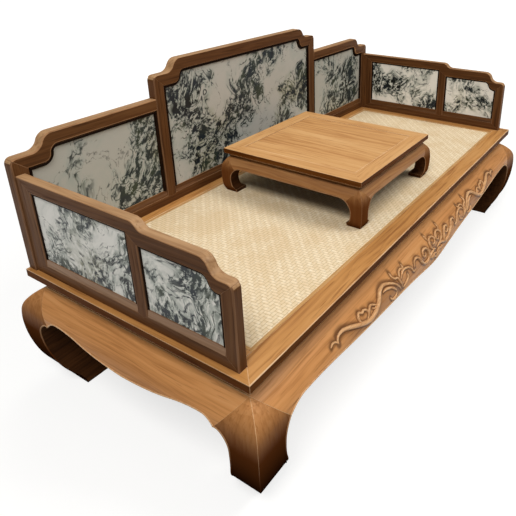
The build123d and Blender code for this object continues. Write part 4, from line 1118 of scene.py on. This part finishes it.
        # The ribs take a lighter tone than the apron: painted highlight.
        carved = Rosewood("carved_rosewood", CARVED_HIGHLIGHT, Grain.ALONG_X, shift=7.5, roughness=0.38)
        ribs = [self.rib(line) for line in lines]
        make_piece("apron_carving", ribs, self.body, dresser.finish(carved))
        lower = np.vstack([points for points, _, _ in bead.chains(self.node, OUTWARD["front"])])
        self.ground(lines, lower, dresser.finish(replace(self.wood, name="carved_ground", shadowed_ground=True)))


# ------------------------------------------------------------------------------ sub-assemblies
@dataclass
class SeatFrame:
    """Mitred seat frame with its cove, waist, board, braces and the strips round the mat."""

    body: str = "base"
    arris_mm: float = 2.4
    board_arris_mm: float = 0.8
    waist_arris_mm: float = 0.6

    def build(self, dresser: Dresser) -> None:
        """Dress the frame rails along their fibres, and the hidden softwood below.

        Args:
            dresser: Dresser of the pieces.
        """
        for way, sides in ((Grain.ALONG_X, ("front", "back")), (Grain.ALONG_Y, ("left", "right"))):
            key = way.name.lower()
            # Painted light and shade: a lit top, a painted highlight on the arris, a dark shaded fascia and
            # a near-black cove.
            coat = Coat(
                Rosewood(f"seat_top_{key}", HONEY, way, shift=3.0),
                Rosewood(f"seat_arris_{key}", ARRIS_HIGHLIGHT, way, shift=3.0),
                Rosewood(f"seat_fascia_{key}", FASCIA, way, shift=3.0, gloss=0.02),
                Rosewood(f"seat_cove_{key}", SHADE, way, shift=3.0, roughness=0.6, gloss=0.0),
            )
            for side in sides:
                dresser.dress(f"seat_{side}_rail", self.body, coat, self.arris_mm)
        # The recessed waist is painted near black: painted shade.
        waist = Rosewood("waist_rosewood", SHADE, Grain.ALONG_X, gloss=0.04)
        dresser.dress("seat_waist", self.body, one_coat(waist), self.waist_arris_mm)
        for node in ("seat_board", "seat_braces"):
            dresser.dress(node, self.body, one_coat(SOFTWOOD), self.board_arris_mm)
        strip = Rosewood("mat_strip", STRIP, Grain.ALONG_X, shift=5.0)
        dresser.dress("mat_edging", self.body, one_coat(strip), self.board_arris_mm)


@dataclass
class Stand:
    """Swelling aprons and legs of the bed, with a raised bead along their lower edges."""

    body: str = "base"
    arris_mm: float = 2.6
    bead_width: float = 4.5 * MM
    bead_height: float = 2.2 * MM

    def build(self, dresser: Dresser) -> None:
        """Dress aprons along their length and legs along their height, then run the beads.

        Args:
            dresser: Dresser of the pieces.
        """
        bead = EdgeBead(dresser.touching, self.bead_width, self.bead_height)
        # Painted highlight for the arrises and raised beads.
        arris_highlight = Rosewood("rubbed_stand", ARRIS_HIGHLIGHT, Grain.ALONG_Z, shift=3.0)
        ribs, woods = [], {}
        for side, outward in OUTWARD.items():
            way = Grain.ALONG_X if side in ("front", "back") else Grain.ALONG_Y
            name = f"apron_rosewood_{way.name.lower()}"
            wood = Rosewood(name, AMBER, way, shift=7.0, roughness=0.40, gloss=0.15)
            # Faces turned under or to the bed's middle take painted shade.
            coat = Coat(wood, arris_highlight, wood, INNER_SHADE_WOOD)
            dresser.dress(f"{side}_apron", self.body, coat, self.arris_mm, hollow=True)
            ribs += bead.ribs(f"{side}_apron", outward)
            woods[side] = wood
        # The legs darken towards the foot with painted shade, and so does their arris highlight.
        leg = Rosewood(
            "leg_rosewood", AMBER, Grain.ALONG_Z, shift=2.0, roughness=0.42, gloss=0.15,
            brown=(0.22, 0.37), black=(0.06, 0.27),
        )
        foot_arris = replace(leg, name="rubbed_leg", tone=ARRIS_HIGHLIGHT, brown=(0.13, 0.35), black=(0.0, 0.16))
        coat = Coat(leg, foot_arris, leg, INNER_SHADE_WOOD)
        foot_ribs = []
        for node in (f"{depth}_{end}_leg" for depth in ("front", "back") for end in ("left", "right")):
            dresser.dress(node, self.body, coat, self.arris_mm, hollow=True)
            for side in node.split("_")[:2]:
                foot_ribs += bead.ribs(node, OUTWARD[side])
        make_piece("apron_beads", ribs, self.body, dresser.finish(arris_highlight))
        make_piece("leg_beads", foot_ribs, self.body, dresser.finish(foot_arris))
        ApronCarving(woods["front"]).build(dresser, bead)


@dataclass
class Railings:
    """Back screen and arms: framed stone panels with bead mouldings."""

    arris_mm: float = 4.0
    bead_arris_mm: float = 1.6
    stone_arris_mm: float = 0.6
    wing_pale: str = "#B2AFA4"
    centre_pale: str = "#B6B3A9"
    screen_grey: str = "#A4A89E"
    wing_strength: float = 0.9
    arm_strokes: float = 25.0
    cuts: int = 13
    first_cut: int = 8
    cut_start: float = 0.3
    cut_steps: Spot = (0.83, 0.47, 0.29)
    cover: dict[str, float] = field(default_factory=lambda: {
        "back_left_stone": 0.038, "back_center_stone": 0.010, "back_right_stone": 0.022,
        "left_arm_rear_stone": 0.036, "left_arm_front_stone": -0.002,
        "right_arm_rear_stone": -0.012, "right_arm_front_stone": 0.012,
    })

    def build(self, dresser: Dresser) -> None:
        """Dress every member of the three railings along its own fibres.

        Args:
            dresser: Dresser of the pieces.
        """
        for body in ("back_screen", "left_arm", "right_arm"):
            run = Grain.ALONG_X if body == "back_screen" else Grain.ALONG_Y
            for node in BODIES[body]:
                way = Grain.ALONG_Z if node.endswith(("stile", "keys")) else run
                if node.endswith("_stone"):
                    coat = one_coat(self.stone(node, body))
                    dresser.dress(node, body, coat, self.stone_arris_mm)
                elif node.endswith("beading"):
                    dresser.dress(node, body, self.bead_coat(run), self.bead_arris_mm)
                else:
                    # The arms' bottom rails take a pale painted sheen on their level faces and outward
                    # slopes.
                    sill = node.endswith("arm_bottom_rail")
                    coat = self.rail_coat(way, node.endswith("top_rail"), sill)
                    dresser.dress(node, body, coat, self.arris_mm, sills=sill)

    @staticmethod
    def bead_coat(run: Grain) -> Coat:
        """Finishes of a beading: painted shade on the crown and in the groove, and a painted highlight on
        the sill.

        Args:
            run: The way that its fibres run.

        Returns:
            The coat.
        """
        key = run.name.lower()
        groove = Rosewood(f"bead_groove_{key}", SHADE, run, shift=4.0, roughness=0.6, gloss=0.04)
        crown = Rosewood(f"bead_crown_{key}", DARK_BEAD, run, shift=4.0, gloss=0.04)
        sill = Rosewood(f"bead_sill_{key}", ARRIS_HIGHLIGHT_DARK, run, shift=4.0, gloss=0.12)
        return Coat(sill, crown, groove, groove)

    @staticmethod
    def rail_coat(way: Grain, top: bool, sill: bool) -> Coat:
        """Finishes of a rail or stile, as painted light: a lit top, a shaded face, an underside in painted
        shade and a painted highlight on the arrises.

        Args:
            way: The way that its fibres run.
            top: Whether it is a top rail, whose arrises take a brighter painted highlight.
            sill: Whether it is an arm's bottom rail, whose level faces and outward slopes take a pale
                painted sheen.

        Returns:
            The coat.
        """
        key = way.name.lower()
        level_name = f"rail_{'sill' if sill else 'top'}_{key}"
        highlight_tone = ARRIS_HIGHLIGHT_DARK if top else ARRIS_HIGHLIGHT_STILE
        return Coat(
            Rosewood(level_name, SILL_SHEEN if sill else TOP_BROWN, way, shift=6.0),
            Rosewood(f"rail_arris_{key}_{top}", highlight_tone, way, shift=6.0, gloss=0.12),
            Rosewood(f"rail_face_{key}", WALNUT, way, shift=6.0, gloss=0.08),
            Rosewood(f"rail_under_{key}", INNER, way, shift=6.0, gloss=0.04),
        )

    def stone(self, node: str, body: str) -> VeinedStone:
        """Give one stone its own cut of the veining; the back screen's slabs are greyer.

        Args:
            node: Node of the stone; the letters of its name pick the cut.
            body: Body that it belongs to.

        Returns:
            Its finish.
        """
        cut = (sum(map(ord, node)) + self.first_cut) % self.cuts
        along, across, deep = (cut * step for step in self.cut_steps)
        stone = VeinedStone(f"stone_{node}", (along + self.cut_start, across, deep), self.cover[node])
        if body != "back_screen":
            return replace(stone, stroke_scale=self.arm_strokes)
        if "center" in node:
            return replace(stone, pale=self.centre_pale, grey=self.screen_grey)
        return replace(stone, strength=self.wing_strength, pale=self.wing_pale, grey=self.screen_grey)


@dataclass
class KangTable:
    """Low table: mitred top with a floating panel, swelling aprons and scroll feet."""

    body: str = "kang_table"
    arris_mm: float = 1.8
    brace_arris_mm: float = 0.8
    bead_width: float = 3.0 * MM
    bead_height: float = 1.4 * MM
    # Heights above the foot over which the table legs take painted shade.
    browned_at: tuple[float, float] = (0.080, 0.140)
    blackened_at: tuple[float, float] = (-0.02, 0.04)

    def build(self, dresser: Dresser) -> None:
        """Dress the table's pieces and run the beads along its aprons and legs.

        Args:
            dresser: Dresser of the pieces.
        """
        bead = EdgeBead(dresser.touching, self.bead_width, self.bead_height)
        # Painted highlight for the arrises and raised beads.
        arris_highlight = Rosewood("rubbed_table", ARRIS_HIGHLIGHT_DARK, Grain.ALONG_Z, shift=3.0)
        ribs = []
        for node in BODIES[self.body]:
            sides = [word for word in node.split("_") if word in OUTWARD]
            way = Grain.ALONG_X if {"front", "back"} & set(sides) else Grain.ALONG_Y
            if node.endswith(("leg", "apron")):
                wood = self.leg_wood(node) if node.endswith("leg") else self.apron_wood(way)
                # Faces turned under or inward take painted shade.
                coat = Coat(wood, arris_highlight, wood, INNER_SHADE_WOOD)
                dresser.dress(node, self.body, coat, self.arris_mm, hollow=True)
                for side in sides:
                    ribs += bead.ribs(node, OUTWARD[side])
            elif node == "table_brace":
                dresser.dress(node, self.body, one_coat(SOFTWOOD), self.brace_arris_mm)
            else:
                dresser.dress(node, self.body, self.top_coat(way), self.arris_mm)
        make_piece("table_beads", ribs, self.body, dresser.finish(arris_highlight))

    def leg_wood(self, node: str) -> Rosewood:
        """Wood of a leg that darkens towards the foot with painted shade.

        Args:
            node: Node of the leg.

        Returns:
            Its finish.
        """
        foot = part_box(node)[0].z
        brown = (foot + self.browned_at[0], foot + self.browned_at[1])
        black = (foot + self.blackened_at[0], foot + self.blackened_at[1])
        return Rosewood(
            "table_leg_wood", TABLE_APRON, Grain.ALONG_Z, shift=13.0, gloss=0.15,
            brown=brown, black=black, browned=0.85, darkest=0.7,
        )

    @staticmethod
    def apron_wood(way: Grain) -> Rosewood:
        """Wood of an apron."""
        name = f"table_apron_{way.name.lower()}"
        return Rosewood(name, TABLE_APRON, way, shift=12.0, roughness=0.40, gloss=0.3)

    @staticmethod
    def top_coat(way: Grain) -> Coat:
        """Finishes of the top's frame and panel, as painted light: a lit top, a painted highlight on the
        arris, a dark shaded fascia and a cove in painted shade.

        Args:
            way: The way that the fibres run.

        Returns:
            The coat.
        """
        key = way.name.lower()
        return Coat(
            Rosewood(f"table_top_{key}", TABLE_HONEY, way, shift=11.0),
            Rosewood(f"table_arris_{key}", ARRIS_HIGHLIGHT, way, shift=11.0),
            Rosewood(f"table_fascia_{key}", FASCIA, way, shift=11.0, gloss=0.04),
            Rosewood(f"table_cove_{key}", SHADE, way, shift=11.0, roughness=0.6, gloss=0.04),
        )


@dataclass
class SeatMat:
    """Woven cane mat that fills the seat frame, laid on the board."""

    body: str = "base"
    arris_mm: float = 1.2

    def build(self, dresser: Dresser) -> None:
        """Make the mat as a thin closed slab with its weave in the finish.

        Args:
            dresser: Dresser of the pieces.
        """
        piece = dresser.dress("seat_mat", self.body, one_coat(WovenCane()), self.arris_mm)


# ------------------------------------------------------------------------------ stage
def axes_matrix(right: Array, up: Array, back: Array, spot: Spot) -> Matrix:
    """Set up the matrix of an object whose axes and place are known.

    Args:
        right: Direction of its X.
        up: Direction of its Y.
        back: Direction of its Z.
        spot: Its place.

    Returns:
        The matrix.
    """
    matrix = np.eye(4)
    matrix[:3] = np.stack([right, up, back, spot], 1)
    return Matrix(matrix.tolist())


@dataclass(frozen=True)
class Softbox:
    """A large square lamp: its spot, what it aims at, its side and its power in watts."""

    name: str
    spot: Spot
    aim: Spot
    side: float
    power: float

    def hang(self) -> None:
        """Hang the lamp so that it shines at its aim, with two of its sides level."""
        lamp = bpy.data.lights.new(self.name, "AREA")
        lamp.energy = self.power
        lamp.size = self.side
        back = np.subtract(self.spot, self.aim)
        back /= np.linalg.norm(back)
        right = np.cross((0.0, 0.0, 1.0), back)
        right /= np.linalg.norm(right)
        holder = put_in_scene(self.name, lamp)
        holder.matrix_world = axes_matrix(right, np.cross(back, right), back, self.spot)


@dataclass
class Studio:
    """Pale floor, soft light and the camera."""

    place: Spot = (-1.73660, -1.07994, 1.34777)
    azimuth: float = 33.1811
    elevation: float = -23.6855
    roll: float = -0.3234
    focal: float = 548.824
    axis_at: tuple[float, float] = (318.141, 174.772)
    pixels: float = 516.0
    sensor_mm: float = 36.0
    floor_half: float = 30.0
    ambient: float = 0.20
    near: float = 1.2
    far: float = 4.5
    near_glow: float = 0.71
    far_glow: float = 1.0
    closest_seen: float = 0.05
    lamps: tuple[Softbox, ...] = (
        Softbox("key", (0.7, 1.0, 3.3), (0.2, 0.0, 0.4), 1.6, 18.0),
        Softbox("front", (1.6, -3.4, 4.9), (0.1, 0.0, 0.3), 2.0, 145.0),
        Softbox("left", (-3.3, -1.3, 5.0), (0.0, 0.0, 0.3), 2.0, 182.0),
    )

    @staticmethod
    def seen_by(tree: Tree, *rays: str) -> Socket:
        """Tell the rays that should see the white stage from those that light the bed.

        Args:
            tree: Node tree.
            rays: Kinds of rays that see it.

        Returns:
            1 for those rays, else 0.
        """
        first, *others = (add_node(tree, "LightPath").outputs[f"Is {ray} Ray"] for ray in rays)
        for other in others:
            first = math_node(tree, "MAXIMUM", first, other)
        return first

    def floor(self) -> None:
        """Lay a wide pale floor that takes the bed's shadow."""
        half = self.floor_half
        corners = [(-half, -half, 0.0), (half, -half, 0.0), (half, half, 0.0), (-half, half, 0.0)]
        mesh = bpy.data.meshes.new("floor")
        mesh.from_pydata(corners, [], [(0, 1, 2, 3)])
        floor = put_in_scene("floor", mesh)
        mesh.materials.append(self.floor_paint())

    def floor_paint(self) -> Material:
        """Pale paint that the camera sees as white, with a soft grey shadow.

        Returns:
            The paint, which glows more away from the bed.
        """
        material, tree, shader, place = start_material(
            "pale_floor", Base_Color=linear("#A6A5A2"), Roughness=0.95, Specular_IOR_Level=0.1,
            Emission_Color=linear("#FFFFFF"),
        )
        seen = self.seen_by(tree, "Camera", "Glossy", "Transmission")
        away = add_node(tree, "VectorMath", {0: place}, operation="LENGTH").outputs["Value"]
        glow = band(tree, away, self.near, self.far, self.near_glow, self.far_glow)
        plug(tree, shader, Emission_Strength=times(tree, seen, glow))
        return material

    def light(self) -> None:
        """Set a white world and three large soft lamps."""
        world = bpy.data.worlds.new("studio")
        bpy.context.scene.world = world
        world.use_nodes = True
        tree = world.node_tree
        tree.nodes.clear()
        seen = self.seen_by(tree, "Camera", "Transmission")
        soft = add_node(tree, "Background", Color=linear("#FFFFFF"), Strength=self.ambient)
        white = add_node(tree, "Background", Color=linear("#FFFFFF"), Strength=1.0)
        both = add_node(tree, "MixShader", {0: seen, 1: soft.outputs[0], 2: white.outputs[0]})
        add_node(tree, "OutputWorld", {"Surface": both.outputs[0]})
        for lamp in self.lamps:
            lamp.hang()

    def camera(self) -> None:
        """Set the camera from its place, its three angles and its focal length in pixels."""
        a, b, c = (math.radians(x) for x in (self.azimuth, self.elevation, self.roll))
        ahead = np.array((math.cos(b) * math.cos(a), math.cos(b) * math.sin(a), math.sin(b)))
        level = np.array((math.sin(a), -math.cos(a), 0.0))
        above = np.cross(level, ahead)
        right = math.cos(c) * level + math.sin(c) * above
        up = math.cos(c) * above - math.sin(c) * level
        lens = bpy.data.cameras.new("camera")
        lens.sensor_fit = "HORIZONTAL"
        lens.sensor_width = self.sensor_mm
        lens.lens = self.sensor_mm * self.focal / self.pixels
        lens.shift_x = (self.pixels / 2 - self.axis_at[0]) / self.pixels
        lens.shift_y = (self.axis_at[1] - self.pixels / 2) / self.pixels
        lens.clip_start = self.closest_seen
        holder = put_in_scene("camera", lens)
        holder.matrix_world = axes_matrix(right, up, -ahead, self.place)
        bpy.context.scene.camera = holder


def main() -> None:
    """Build the daybed piece by piece, then the stage."""
    logging.basicConfig(level=logging.INFO, format="%(name)s: %(message)s")
    bpy.context.scene.view_settings.view_transform = "Standard"
    dresser = Dresser(Touching())
    for part in (SeatFrame(), Stand(), Railings(), KangTable(), SeatMat()):
        part.build(dresser)
        log.info("%s built", type(part).__name__)
    studio = Studio()
    studio.floor()
    studio.light()
    studio.camera()
    bpy.context.view_layer.update()


if __name__ == "__main__":
    main()
